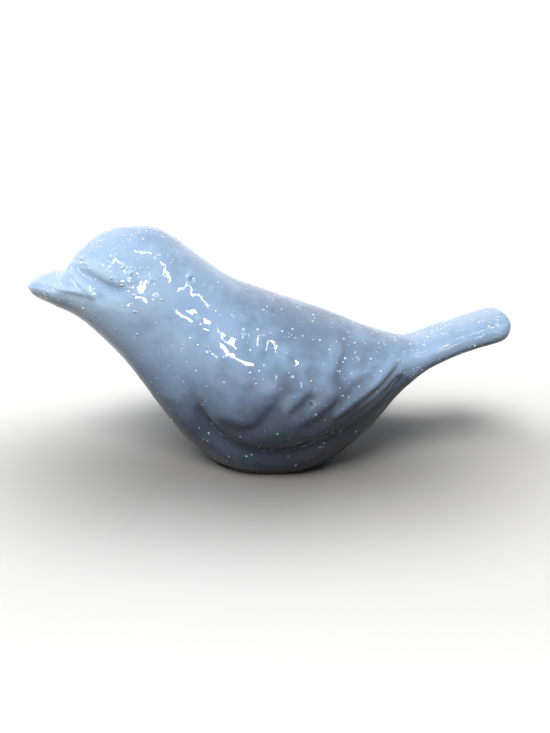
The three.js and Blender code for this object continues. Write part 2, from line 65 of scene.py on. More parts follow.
# The view. The bird was photographed from close by and a little above, with the camera pitched
# down and held slightly off level. Lengths are in millimetres here, and metres in Blender.
MM = 0.001
CAMERA_PLACE = Vector((1.7, -170.7, 78.0))
CAMERA_PITCH = math.radians(16.8)
CAMERA_ROLL = math.radians(1.2)
CAMERA_LENS = 31.83
CAMERA_SENSOR = 36.0
CAMERA_NEAREST = 0.01
CAMERA_FARTHEST = 10.0

level_up = Vector((0, math.sin(CAMERA_PITCH), math.cos(CAMERA_PITCH)))
level_right = Vector((1, 0, 0))
camera_right = level_right * math.cos(CAMERA_ROLL) - level_up * math.sin(CAMERA_ROLL)
camera_up = level_right * math.sin(CAMERA_ROLL) + level_up * math.cos(CAMERA_ROLL)
camera_axes = Matrix((camera_right, camera_up, camera_right.cross(camera_up))).transposed()


def new_object(name, data):
    """An object put into the scene, standing at the origin."""
    made = bpy.data.objects.new(name, data)
    bpy.context.scene.collection.objects.link(made)
    return made


camera = new_object("camera", bpy.data.cameras.new("camera"))
camera.data.lens = CAMERA_LENS
camera.data.sensor_width = CAMERA_SENSOR
camera.data.clip_start = CAMERA_NEAREST
camera.data.clip_end = CAMERA_FARTHEST
camera.matrix_world = Matrix.Translation(CAMERA_PLACE * MM) @ camera_axes.to_4x4()
bpy.context.scene.camera = camera


# The cast body. Buff earthenware poured hollow in a mould, from brow to rump, with a flat cut belly.
# Its outer form, the beak and the tail included, is a row of slices across the bird's length.
foot_low, foot_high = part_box("foot_ring")
BIRD_X = (foot_low.x + foot_high.x) / 2 / MM
TIP_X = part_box("beak")[0].x / MM - BIRD_X
END_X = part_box("tail")[1].x / MM - BIRD_X
CROWN_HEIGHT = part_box("body_shell")[1].z / MM
FOOT_HEIGHT = foot_high.z / MM

# The outline by x: the back's and belly's heights, half the width, where the widest line runs as a
# share of the height, and how square a slice is above and below that line.
BACK_LINE = [(TIP_X + 2, 52.4), (TIP_X + 6, 53.8), (-54, 54.8), (-50, 59.2), (-45, 63), (-35, CROWN_HEIGHT),
             (-28, 64.4), (-20, 58.5), (-12, 52.5), (0, 47.6), (16, 41.8), (30, 36.1), (38, 34.4), (46, 36.9),
             (END_X, 41.9)]
BELLY_LINE = [(TIP_X + 2, 47.3), (TIP_X + 8, 44.5), (-50, 41.4), (-44, 35.8), (-38, 28.6), (-30, 15.4),
              (-24, 6.2), (-18, 0.6), (-10, -5), (0, -6.5), (10, -5), (18, 1), (26, 8.5), (34, 18.8),
              (40, 25.2), (46, 28.6), (END_X, 34.0)]
HALF_WIDTH_LINE = [(TIP_X + 2, 4.6), (TIP_X + 8, 8.4), (-50, 11.2), (-44, 14.4), (-36, 16.9), (-28, 17.5),
                   (-20, 19.4), (-10, 23.2), (0, 24.8), (10, 24.0), (20, 20.3), (28, 15.8), (34, 12.4),
                   (40, 10.6), (48, 10.2), (END_X, 10.2)]
WAIST_SHARE_LINE = [(TIP_X, 0.62), (TIP_X + 8, 0.58), (-50, 0.5), (-42, 0.52), (-28, 0.54), (-10, 0.6),
                    (12, 0.62), (30, 0.55), (END_X, 0.5)]
SQUARENESS_LINE = [(TIP_X, 1.25), (-54, 1.3), (-46, 1.85), (-38, 2.1), (28, 2.1), (42, 2.6), (END_X, 2.6)]
LOWER_SQUARENESS_LINE = [(TIP_X, 1.8), (-54, 1.9), (-46, 2.0), (-36, 1.95), (-20, 1.85), (0, 1.75),
                         (20, 1.75), (34, 2.1), (42, 2.6), (END_X, 2.6)]
LINE_STEP = 0.1
LINE_MARGIN = 8.0
LINE_BLUR = 1.2
# How many times its own blur a bell curve reaches.
BLUR_REACH = 3

NOSE_ROUND = 3.2
TAIL_CORNER_RADIUS = 4.0
TAIL_EDGE_RADIUS = 2.2
LEAST_SQUARENESS = 1.1

# How finely the outline is worked out, and then how the skin's own rows and columns lie.
FINE_PLACES = 4001
FINE_TURNS = 361
SLICES = 500
TAIL_CAP_SLICES = 14
HALF_SIDES = 148
FLANK_CROWDING = 0.035
SKIN_BLUR = 1.7


def line_through(points, blur=LINE_BLUR):
    """A soft line through (x, value) points, straight beyond its ends, as a function of x."""
    xs, values = np.array(points, float).T
    gap = np.diff(xs)
    rise = np.diff(values) / gap
    middle = (gap[1:] * rise[:-1] + gap[:-1] * rise[1:]) / (gap[:-1] + gap[1:])
    slopes = np.concatenate([rise[:1], middle, rise[-1:]])
    table = np.arange(xs[0] - LINE_MARGIN, xs[-1] + LINE_MARGIN, LINE_STEP)
    span = np.clip(np.searchsorted(xs, table) - 1, 0, len(gap) - 1)
    t = (table - xs[span]) / gap[span]
    s = 1 - t
    inside = (values[span] * s * s * (1 + 2 * t) + slopes[span] * gap[span] * t * s * s
              + values[span + 1] * t * t * (1 + 2 * s) - slopes[span + 1] * gap[span] * t * t * s)
    before = values[0] + slopes[0] * (table - xs[0])
    after = values[-1] + slopes[-1] * (table - xs[-1])
    line = np.where(table < xs[0], before, np.where(table > xs[-1], after, inside))
    reach = int(BLUR_REACH * blur / LINE_STEP)
    weights = np.exp(-0.5 * (np.arange(-reach, reach + 1) * LINE_STEP / blur) ** 2)
    padded = np.pad(line, reach, mode="reflect", reflect_type="odd")
    soft = np.convolve(padded, weights / weights.sum(), "valid")
    return lambda x: np.interp(x, table, soft)


back_height = line_through(BACK_LINE)
belly_height = line_through(BELLY_LINE)
half_width = line_through(HALF_WIDTH_LINE)
waist_share = line_through(WAIST_SHARE_LINE)
squareness = line_through(SQUARENESS_LINE)
lower_squareness = line_through(LOWER_SQUARENESS_LINE)


def quarter_round(radius, x):
    """How much a quarter round at the tail's end takes off at x."""
    depth = np.clip(1 - (END_X - x) / radius, 0, 1)
    return radius * (1 - np.sqrt(1 - depth ** 2))


def slice_at(x):
    """Height of a slice's widest line, its reach to the side, up and down, and its two squarenesses."""
    top, bottom = back_height(x), belly_height(x)
    waist = bottom + (top - bottom) * waist_share(x)
    nose = np.sqrt(1 - (1 - np.clip((x - TIP_X) / NOSE_ROUND, 0, 1)) ** 2)
    edge = quarter_round(TAIL_EDGE_RADIUS, x)
    side = half_width(x) * nose - quarter_round(TAIL_CORNER_RADIUS, x)
    powers = (np.maximum(line(x), LEAST_SQUARENESS) for line in (squareness, lower_squareness))
    return waist, side, (top - waist) * nose - edge, (waist - bottom) * nose - edge, *powers


def running_length(steps):
    """Length run so far along a row of steps, from 0 to 1."""
    run = np.concatenate([[0], np.cumsum(steps)])
    return run / run[-1]


fine_x = TIP_X + (END_X - TIP_X) * (1 - np.cos(np.linspace(0, np.pi, FINE_PLACES))) / 2
profile = np.column_stack([fine_x, *slice_at(fine_x)[1:4]])
profile_run = running_length(np.linalg.norm(np.diff(profile, axis=0), axis=1))
slice_places = np.interp((np.arange(SLICES) + 0.5) / (SLICES - 0.5), profile_run, fine_x)

turns = np.linspace(0, np.pi, FINE_TURNS)
even = np.linspace(0, 1, HALF_SIDES + 1)
crowded = even + FLANK_CROWDING * np.sin(2 * np.pi * even)
rings = []
for x in slice_places:
    waist, side, up, down, upper_power, lower_power = slice_at(x)
    power = np.where(np.cos(turns) > 0, upper_power, lower_power)
    wide = np.sin(turns) ** (2 / power)
    high = np.sign(np.cos(turns)) * np.abs(np.cos(turns)) ** (2 / power)
    height = waist + high * np.where(high > 0, up, down)
    outline = np.column_stack([np.full_like(turns, x), -side * wide, height])
    run = running_length(np.linalg.norm(np.diff(outline, axis=0), axis=1))
    left = np.column_stack([np.interp(crowded, run, outline[:, axis]) for axis in range(3)])
    right = left[-2:0:-1] * [1, -1, 1]
    rings.append(np.concatenate([left, right]))
end_hub = np.array([END_X, 0, slice_at(END_X)[0]])
for step in range(1, TAIL_CAP_SLICES):
    rings.append(end_hub + (rings[SLICES - 1] - end_hub) * (1 - step / TAIL_CAP_SLICES))
skin = np.array(rings)
ROWS, SIDES = skin.shape[:2]


def past_the_ends(grid, reach):
    """The grid with rows added past both ends, where each line runs on down the opposite side."""
    before = np.roll(grid[reach - 1::-1], SIDES // 2, axis=1)
    after = np.roll(grid[:-reach - 1:-1], SIDES // 2, axis=1)
    return np.concatenate([before, grid, after])


def soften(grid, blur):
    """The grid averaged over its neighbours, by a bell curve this many vertices wide."""
    reach = int(BLUR_REACH * blur) + 1
    weights = np.exp(-0.5 * (np.arange(-reach, reach + 1) / blur) ** 2)
    weights /= weights.sum()
    around = sum(w * np.roll(grid, k - reach, axis=1) for k, w in enumerate(weights))
    padded = past_the_ends(around, reach)
    return sum(w * padded[k:k + len(grid)] for k, w in enumerate(weights))


def normals_of(grid):
    """Outward directions on the grid."""
    along = past_the_ends(grid, 1)[2:] - past_the_ends(grid, 1)[:-2]
    around = np.roll(grid, -1, axis=1) - np.roll(grid, 1, axis=1)
    outward = np.cross(around, along)
    return outward / np.linalg.norm(outward, axis=-1, keepdims=True)


skin = soften(skin, SKIN_BLUR)
outward = normals_of(skin)
quad = np.arange(ROWS * SIDES).reshape(ROWS, SIDES)
turned = np.roll(quad, -1, axis=1)
quads = np.stack([quad[:-1], turned[:-1], turned[1:], quad[1:]], axis=-1).reshape(-1, 4)
clay_of_quad = np.zeros(len(quads), int)
LABELS = range(8)
BODY, BEAK, TAIL, LEFT_WING, RIGHT_WING, LEFT_EYE, RIGHT_EYE, VENT = LABELS


# The wings. Two thin clay reliefs luted to the flanks. Scalloped coverts overlap away from the
# shoulder, and long feathers run back to a point by the tail. The front and top melt into the body.
WING_LOWER_EDGE = [(-20.6, 32), (-20.2, 28), (-19.4, 24), (-18.5, 20.9), (-17.1, 17.3), (-15.2, 14.2),
                   (-12.2, 12), (-8.9, 10.3), (-5.6, 9.3), (-1.8, 8.7), (2, 8.7), (5.9, 9.3), (9.6, 10.3),
                   (13.4, 11.7), (17.4, 13.2), (20.9, 14.9), (25.7, 17.7), (29.3, 20.3), (32.1, 23.7),
                   (33.9, 27.4), (34.2, 32.4)]
WING_UPPER_EDGE = [(-20.6, 32), (-18.6, 38), (-10, 43), (4, 42), (18, 38), (28, 34.8), (34.2, 32.4)]
PATH_STEP = 0.3
PATH_BLUR = 0.5
ROLL_POWER = 1.8
PLACES_AT_A_TIME = 4000
# How far a surface has to face sideways to take any of the relief, and all of it.
SIDEWAYS_FROM = 0.1
SIDEWAYS_FULLY = 0.5

# Each overlap: its edge, walked with the raised feather on the left, then how far the feather
# stands up and how far that reaches, the depth and width of the hollow beyond the edge, how
# broadly the feather rolls over into it, and the lengths over which it all fades at either end.
OVERLAPS = [
    ([(-21.6, 35), (-20.6, 31)] + WING_LOWER_EDGE[1:-1] + [(34.3, 31.5)],
     1.0, 18.0, 1.2, 4.6, 9.5, 26.0, 8.0),
    ([(5.3, 15.9), (8.2, 17.4), (11.6, 19.6), (14.4, 21.9), (16.4, 24.6), (16.8, 27.4), (16.4, 29.6),
      (17.1, 31.4), (18.1, 33.6), (18.7, 35.6), (17.9, 37.6), (15.2, 39.6)],
     0.3, 7.0, 0.65, 4.4, 3.8, 5.0, 4.0),
    ([(17.4, 25.6), (20.1, 26.9), (23, 28.1), (25.8, 29.4), (26.8, 31)], 0.25, 3.5, 0.45, 3.2, 2.6, 2.5, 2.5),
    ([(14, 17.4), (18.2, 19.7), (21.1, 21.7), (24.5, 23.7), (27.9, 25.9), (31.1, 28.5), (33.4, 31.1)],
     0.45, 3.6, 0.45, 2.6, 2.2, 3.5, 2.5),
    ([(20, 18.6), (22.4, 20), (26.1, 22), (29, 23.8), (31.6, 25.8), (33.1, 27.8)],
     0.25, 2.4, 0.25, 1.8, 1.4, 4.0, 2.0),
    ([(7.6, 11.7), (10.1, 13.3), (12.6, 14.7), (14.7, 16.1)], 0.2, 2.0, 0.2, 1.6, 1.4, 2.0, 2.0),
    ([(4.3, 19.6), (5.3, 22), (7.4, 23.9), (9.1, 25.8), (10, 27.6)], 0.2, 4.5, 0.6, 3.8, 2.8, 2.5, 2.0),
    ([(-13.6, 19.8), (-11.2, 17.4), (-7.7, 16.8), (-4.5, 17.8), (-2.2, 19.5), (-0.3, 22.5), (1.4, 25),
      (3.0, 27), (3.1, 29), (1.6, 31.4)], 0.25, 8.0, 0.65, 4.6, 4.6, 3.5, 3.5),
    ([(-5.8, 26.6), (-3.9, 29.6), (-3.4, 31.6)], 0.15, 4.0, 0.12, 3.0, 2.2, 1.8, 1.8),
    ([(-3, 33.8), (-1.9, 35.6), (-1.2, 37.6), (-1.7, 40)], 0.12, 4.0, 0.18, 3.0, 2.2, 1.8, 1.8),
    ([(10.4, 26.8), (9.9, 28.6), (8.9, 30.6), (7.9, 33)], 0.15, 3.5, 0.15, 2.6, 1.8, 1.8, 1.8),
    ([(7, 32.6), (5.3, 34.2), (4.1, 36.6)], 0.12, 3.0, 0.2, 2.0, 1.8, 2.0, 2.0),
]
# The round-bottomed groove along the wing's lower edge, where the glaze fills the crease.
GROOVE_START = (-20.6, 31)
GROOVE_DEPTH = 0.45
GROOVE_WIDTH = 1.4
GROOVE_FILL_BLUR = 3.5
GROOVE_FADE_IN = 18.0
GROOVE_FADE_OUT = 3.0
# Soft dents between the feathers, as x, height, depth and radius.
DENTS = [(-11.6, 30.7, 0.2, 2.4), (-15.5, 39.7, 0.2, 1.7), (-2.2, 36.8, 0.1, 1.5), (4.7, 35.2, 0.15, 1.3),
         (11.1, 33.7, 0.15, 1.5)]


def smoothstep(value, low=0.0, high=1.0):
    """0 below low, 1 above high, and a smooth rise between them."""
    t = np.clip((value - low) / (high - low), 0, 1)
    return t * t * (3 - 2 * t)


def trace(points):
    """A soft path through (x, height) points, as places a fraction of a millimetre apart."""
    corners = np.array(points, float)
    run = np.concatenate([[0], np.cumsum(np.hypot(*np.diff(corners, axis=0).T))])
    places = np.linspace(0, run[-1], int(run[-1] / PATH_STEP) + 2)
    return np.column_stack([line_through(list(zip(run, corners[:, k])), PATH_BLUR)(places) for k in (0, 1)])


def beside(x, z, path, reach):
    """For places within reach of a path: which they are, their distance to its left, and what is run."""
    low, high = path.min(0) - reach, path.max(0) + reach
    near = np.flatnonzero((x > low[0]) & (x < high[0]) & (z > low[1]) & (z < high[1]))
    along = np.gradient(path, axis=0)
    along /= np.linalg.norm(along, axis=1, keepdims=True)
    left, run = [], []
    for some in np.array_split(near, len(near) // PLACES_AT_A_TIME + 1):
        place = np.column_stack([x[some], z[some]])
        nearest = ((place[:, None] - path[None]) ** 2).sum(2).argmin(1)
        away = place - path[nearest]
        ahead = along[nearest]
        left.append(ahead[:, 0] * away[:, 1] - ahead[:, 1] * away[:, 0])
        run.append(nearest * PATH_STEP + (ahead * away).sum(1))
    return near, np.concatenate(left), np.concatenate(run)


def overlap_relief(x, z, points, lip, lip_width, depth, hollow_width, roll, fade_in, fade_out):
    """A feather rolling over its edge and the hollow under it, fading out towards the edge's ends."""
    path = trace(points)
    near, left, run = beside(x, z, path, max(lip_width, hollow_width))
    rolled = 1 - (1 - np.clip(left / roll, 0, 1)) ** ROLL_POWER
    feather = (lip * (1 - smoothstep(left / lip_width)) + depth) * rolled - depth
    hollow = -depth * (1 - smoothstep(-left / hollow_width))
    length = PATH_STEP * (len(path) - 1)
    strength = smoothstep(run, 0, fade_in) * smoothstep(length - run, 0, fade_out)
    relief = np.zeros_like(x)
    relief[near] = strength * np.where(left > 0, feather, hollow)
    return relief


skin_x, skin_z = skin[..., 0].ravel(), skin[..., 2].ravel()
faces_sideways = smoothstep(np.abs(outward[..., 1]).ravel(), SIDEWAYS_FROM, SIDEWAYS_FULLY)
relief = np.zeros(ROWS * SIDES)
for points, *shape in OVERLAPS:
    relief += overlap_relief(skin_x, skin_z, points, *shape)
for x, z, depth, radius in DENTS:
    relief -= depth * np.exp(-((skin_x - x) ** 2 + (skin_z - z) ** 2) / radius ** 2)
groove = trace([GROOVE_START] + WING_LOWER_EDGE[1:-1])
near, left, run = beside(skin_x, skin_z, groove, BLUR_REACH * GROOVE_WIDTH)
to_end = PATH_STEP * (len(groove) - 1) - run
in_groove = np.zeros_like(relief)
in_groove[near] = smoothstep(run, 0, GROOVE_FADE_IN) * smoothstep(to_end, 0, GROOVE_FADE_OUT)
in_groove[near] *= np.exp(-(left / GROOVE_WIDTH) ** 2)
filled = soften(relief.reshape(ROWS, SIDES), GROOVE_FILL_BLUR).ravel()
relief += in_groove * (filled - relief - GROOVE_DEPTH)


def inside_outline(x, z, outline):
    """Whether places lie inside a closed outline of (x, height) places."""
    crossings = np.zeros(len(x), int)
    for (ax, az), (bx, bz) in zip(outline, np.roll(outline, -1, axis=0)):
        if az == bz:
            continue
        crossings += ((az > z) != (bz > z)) & (x < ax + (bx - ax) * (z - az) / (bz - az))
    return crossings % 2 == 1


wing_outline = np.concatenate([trace(WING_LOWER_EDGE), trace(WING_UPPER_EDGE)[-2:0:-1]])
quad_middle = skin.reshape(-1, 3)[quads].mean(1)
on_wing = inside_outline(quad_middle[:, 0], quad_middle[:, 2], wing_outline)
clay_of_quad[on_wing & (quad_middle[:, 1] < 0)] = LEFT_WING
clay_of_quad[on_wing & (quad_middle[:, 1] > 0)] = RIGHT_WING


# The head and the eyes. A pellet of clay is pressed on for each eye. The thumbed hollow of the lore
# runs from the beak to below it, a brow stands over it and a round cheek lies under it.
RELIEF_BLUR = 1.3
STROKE_REACH = 4
EYE_X = -33.8
EYE_HEIGHT = 54.4
EYE_RADIUS = 2.4
EYE_RISE = 0.3
# In eye radii: where the swelling starts to fall, where it ends, and where the faint ring round it lies.
EYE_TOP = 0.35
EYE_FOOT = 1.15
EYE_RING = 1.3
EYE_RING_WIDTH = 0.25
EYE_RING_DEPTH = 0.05
CHEEK_X = -30.0
CHEEK_HEIGHT = 47.5
CHEEK_RISE = 0.8
CHEEK_RADIUS = 5.0
# The brow over the lore and the upper beak over the lower, in the feathers' terms.
BROW = ([(-47.4, 55.8), (-43.4, 54.8), (-40.2, 53.2), (-37.4, 52.1), (-34.6, 51.7)],
        0.3, 4.5, 0.35, 4.0, 2.0, 4.0, 4.0)
TOMIUM = ([(-62.6, 50.2), (-60.5, 50.8), (-57.4, 50.9), (-53.4, 50.4), (-49.5, 49.9), (-45.9, 49.6),
           (-42.9, 49.8)], 0.18, 2.4, 0.05, 2.0, 0.9, 2.0, 2.0)
# Hollows and ridges as their path, their rise and their width.
FACE_STROKES = [
    ([(-46.6, 54.6), (-43, 53.2), (-39.6, 51.9), (-36, 50.9)], -0.6, 2.0),
    ([(-31.2, 55.2), (-29.6, 55.8), (-28, 56.4)], -0.2, 1.6),
    ([(-49.1, 54.7), (-47.3, 53.4), (-45.6, 52.0), (-44.2, 51.1), (-43, 49.9)], 0.32, 0.65),
    ([(-60.6, 51.3), (-57.4, 51.4), (-52.4, 50.9), (-48.1, 50.4), (-44.5, 49.8), (-43, 49.5)], 0.2, 0.7),
    ([(-42, 49.6), (-40.6, 49.2)], -0.25, 1.0),
]
for points, *shape in (BROW, TOMIUM):
    relief += overlap_relief(skin_x, skin_z, points, *shape)
for points, rise, width in FACE_STROKES:
    path = trace(points)
    near, left, run = beside(skin_x, skin_z, path, STROKE_REACH * width)
    beyond = np.maximum(-run, run - PATH_STEP * (len(path) - 1)).clip(0)
    relief[near] += rise * np.exp(-(left ** 2 + beyond ** 2) / width ** 2)
from_cheek = (skin_x - CHEEK_X) ** 2 + (skin_z - CHEEK_HEIGHT) ** 2
relief += CHEEK_RISE * np.exp(-from_cheek / CHEEK_RADIUS ** 2)
from_eye = np.hypot(skin_x - EYE_X, skin_z - EYE_HEIGHT) / EYE_RADIUS
relief += EYE_RISE * (1 - smoothstep(from_eye, EYE_TOP, EYE_FOOT))
relief -= EYE_RING_DEPTH * np.exp(-((from_eye - EYE_RING) / EYE_RING_WIDTH) ** 2)
relief = soften((relief * faces_sideways).reshape(ROWS, SIDES), RELIEF_BLUR).ravel()

quad_from_eye = np.hypot(quad_middle[:, 0] - EYE_X, quad_middle[:, 2] - EYE_HEIGHT)
clay_of_quad[(quad_from_eye < EYE_RADIUS) & (quad_middle[:, 1] < 0)] = LEFT_EYE
clay_of_quad[(quad_from_eye < EYE_RADIUS) & (quad_middle[:, 1] > 0)] = RIGHT_EYE


# The beak and the tail. Solid clay, scored and luted on: the beak in a wedge whose point is the
# gape, the tail butted on square to its slope.
GAPE = (-42.8, 50.0)
BEAK_ROOT_TOP = (-50.5, 56.0)
BEAK_ROOT_THROAT = (-49.0, 40.0)
TAIL_JOINT = (35.5, 28.0)
TAIL_SLOPE = math.radians(18)
WING_TIP_CLEARANCE = 0.8


def in_front_of(place, line_from, line_to):
    """How far places lie on the beak's side of a line through two (x, height) points."""
    run = np.subtract(line_to, line_from)
    run = run / np.hypot(*run)
    return run[0] * (place[:, 2] - line_from[1]) - run[1] * (place[:, 0] - line_from[0])


def behind_tail_joint(place):
    """How far places lie behind the tail's joint."""
    run = (place[:, 0] - TAIL_JOINT[0]) * math.cos(TAIL_SLOPE)
    return run + (place[:, 2] - TAIL_JOINT[1]) * math.sin(TAIL_SLOPE)


def into_beak(place):
    """How far places lie inside the beak's wedge."""
    return np.minimum(in_front_of(place, GAPE, BEAK_ROOT_TOP), in_front_of(place, BEAK_ROOT_THROAT, GAPE))


clay_of_quad[into_beak(quad_middle) > 0] = BEAK
clay_of_quad[(behind_tail_joint(quad_middle) > -WING_TIP_CLEARANCE) & (clay_of_quad != BODY)] = BODY
clay_of_quad[behind_tail_joint(quad_middle) > 0] = TAIL


# The glaze. A thick blue gloss glaze covers all the clay and rounds every joint over. It waves
# where it ran, stands up in lumps over grit, and keeps a few pits where bubbles burst.
GLAZE_INSET = 0.03
BASE_ROUNDING = 0.8
GLAZE_WAVES = [(7.0, 0.05), (3.2, 0.045), (1.6, 0.03)]
WAVE_CORNER = Vector((31.7, 12.3, 57.1))
WAVE_STRETCH = 1.3
# The rim thrown up round a pit: its height in pit depths, its place and width in pit radii.
PIT_LIP = 0.25
PIT_LIP_PLACE = 2.0
PIT_LIP_WIDTH = 0.6
# How far above the cut belly the relief starts, and where it has its full height.
RELIEF_START = 0.2
RELIEF_FULL = 3.0
# How broadly and how strongly the relief sets the pooling: deeper in hollows, thinner over raised parts,
# which also paints shade into the creases.
POOL_BLUR = 7.0
POOL_DEPTH = 0.9
# Painted light and shade, put into the glaze colour as if the glaze lay thinner or thicker: a paler head and
# tail and a deeper middle along the bird, painted shade darkening the lower body by height, and painted shade
# on top.
PAINTED_LIGHT_AND_SHADE_ALONG_LINE = [(TIP_X, -0.9), (-48, -0.85), (-34, -0.55), (-20, -0.25), (-6, 0.1), (8, 0.25),
                  (22, 0.05), (32, -0.3), (44, -0.4), (END_X, -0.3)]
PAINTED_LIGHT_AND_SHADE_ALONG_BLUR = 3.0
PAINTED_SHADE_BY_HEIGHT_LINE = [(0, 1.2), (8, 1.5), (17, 1.5), (24, 0.75), (32, 0.2), (44, -0.1), (64, -0.1)]
PAINTED_SHADE_BY_HEIGHT_BLUR = 2.0
PAINTED_SHADE_ON_TOP = 0.45
TOP_SHADE_FROM = 0.35
TOP_SHADE_FULLY = 0.95
# Pits as x, height, radius and depth.
PITS = [(3.4, 13.5, 0.35, 0.4), (9.6, 23.7, 0.35, 0.35), (0.8, 44.5, 0.35, 0.4), (-17.3, 23.4, 0.3, 0.3),
        (7.2, 17.6, 0.35, 0.3), (-19, 53, 0.4, 0.5), (-28, 53, 0.3, 0.3), (-36.4, 52.9, 0.3, 0.3),
        (-31.5, 59, 0.25, 0.25), (-46.3, 57.6, 0.25, 0.25), (22.6, 30.1, 0.25, 0.25)]
# Lumps of grit under the glaze as x, height, radius and rise.
GRIT = [(-46.4, 58.3, 0.5, 0.3), (-48.1, 56.9, 0.45, 0.25), (-50.8, 55.8, 0.4, 0.25),
        (-45.5, 61, 0.5, 0.25), (-44.4, 57.2, 0.5, 0.3), (-36.3, 52.8, 0.5, 0.3), (-33.3, 55, 0.55, 0.3),
        (-28.2, 53.5, 0.5, 0.3), (-19.4, 54.1, 0.55, 0.3), (-21.5, 56.7, 0.4, 0.25),
        (-37.8, 61.7, 0.4, 0.25), (-40.8, 57.1, 0.4, 0.25), (-38.6, 56, 0.4, 0.25), (-35.3, 57, 0.5, 0.3),
        (-38.1, 59, 0.5, 0.25), (-14, 50.5, 0.4, 0.25), (-26.9, 49.4, 0.65, 0.3),
        (-17.2, 44.2, 0.65, 0.3), (-6.2, 40.8, 0.65, 0.3), (-11.3, 35.6, 0.55, 0.3)]

clay = skin.reshape(-1, 3).copy()
clay_outward = outward.reshape(-1, 3).copy()
from_base = clay[:, 2] - FOOT_HEIGHT
clay[:, 2] = FOOT_HEIGHT + (from_base + np.hypot(from_base, BASE_ROUNDING)) / 2
off_base = smoothstep(from_base, RELIEF_START, RELIEF_FULL)

coat = np.zeros(len(clay))
stretched = [Vector((x, y, z * WAVE_STRETCH)) for x, y, z in clay]
for size, height in GLAZE_WAVES:
    coat += [height * noise.noise(WAVE_CORNER + place / size) for place in stretched]
for sign, spots in ((-1, PITS), (1, GRIT)):
    for x, z, radius, height in spots:
        away = (clay[:, 0] - x) ** 2 + (clay[:, 2] - z) ** 2
        coat += sign * height * np.exp(-away / radius ** 2) * faces_sideways
        if sign < 0:
            from_lip = (np.sqrt(away) / radius - PIT_LIP_PLACE) / PIT_LIP_WIDTH
            coat += PIT_LIP * height * np.exp(-from_lip ** 2) * faces_sideways
raised = (relief + coat) * off_base
# The glaze gathers deeper in hollows and lies thinner over raised parts; the deeper colour in the creases is
# also painted shade.
pooling_and_painted_shade = (soften(raised.reshape(ROWS, SIDES), POOL_BLUR).ravel() - raised) / POOL_DEPTH
painted_light_and_shade_along = line_through(PAINTED_LIGHT_AND_SHADE_ALONG_LINE, PAINTED_LIGHT_AND_SHADE_ALONG_BLUR)
painted_shade_by_height = line_through(PAINTED_SHADE_BY_HEIGHT_LINE, PAINTED_SHADE_BY_HEIGHT_BLUR)
# Painted light and shade added to the pooling: a paler head and tail, a darker lower body and darker tops.
faces_up_for_painted_shade = smoothstep(clay_outward[:, 2], TOP_SHADE_FROM, TOP_SHADE_FULLY)
pooling_and_painted_shade += painted_light_and_shade_along(clay[:, 0]) + painted_shade_by_height(clay[:, 2]) + PAINTED_SHADE_ON_TOP * faces_up_for_painted_shade
glazed = clay + (raised - GLAZE_INSET)[:, None] * clay_outward
box_low = np.array(cad_low) / MM - [BIRD_X, 0, 0]
box_high = np.array(cad_high) / MM - [BIRD_X, 0, 0]
glazed = np.clip(glazed, np.maximum(box_low, [TIP_X, box_low[1], FOOT_HEIGHT]), box_high)
outward = normals_of(glazed.reshape(ROWS, SIDES, 3)).reshape(-1, 3)

VENT_RADIUS = 4.0
VENT_BELOW = FOOT_HEIGHT + 1.0
quad_middle = clay[quads].mean(1)
by_the_vent = np.hypot(quad_middle[:, 0], quad_middle[:, 1]) < VENT_RADIUS
clay_of_quad[by_the_vent & (quad_middle[:, 2] < VENT_BELOW)] = VENT

# Where two clays meet only at a corner, the corner is filled, so that every rim is a single line.
CORNER_PASSES = 8
labels = clay_of_quad.reshape(ROWS - 1, SIDES)
for main_diagonal in (True, False) * CORNER_PASSES:
    ahead = np.roll(labels, -1, axis=1)
    first, second, third, fourth = labels[:-1], ahead[:-1], ahead[1:], labels[1:]
    if main_diagonal:
        crossed = (first == third) & (second != first) & (fourth != first)
    else:
        crossed = (second == fourth) & (first != second) & (third != second)
    labels[:-1][crossed] = second[crossed]
clay_of_quad = labels.ravel()


def rims_of(faces):
    """The open rims of some quads, each a closed row of vertices."""
    starts, ends = faces.ravel(), np.roll(faces, -1, axis=1).ravel()
    there = starts * len(clay) + ends
    back = ends * len(clay) + starts
    open_edge = ~np.isin(there, back)
    following = dict(zip(starts[open_edge].tolist(), ends[open_edge].tolist()))
    rims = []
    while following:
        rim = [next(iter(following))]
        while rim[-1] in following:
            rim.append(following.pop(rim[-1]))
        rims.append(rim[:-1])
    return rims


# Each rim's places, normals, and pooling with its painted light and shade are evened out along it.
RIM_EASING = 4
for label in (BEAK, TAIL, LEFT_WING, RIGHT_WING, LEFT_EYE, RIGHT_EYE, VENT):
    for rim in rims_of(quads[clay_of_quad == label]):
        for again in range(RIM_EASING):
            for values in (glazed, outward, pooling_and_painted_shade):
                line = values[rim]
                values[rim] = line / 2 + (np.roll(line, 1, axis=0) + np.roll(line, -1, axis=0)) / 4
outward /= np.linalg.norm(outward, axis=1, keepdims=True)


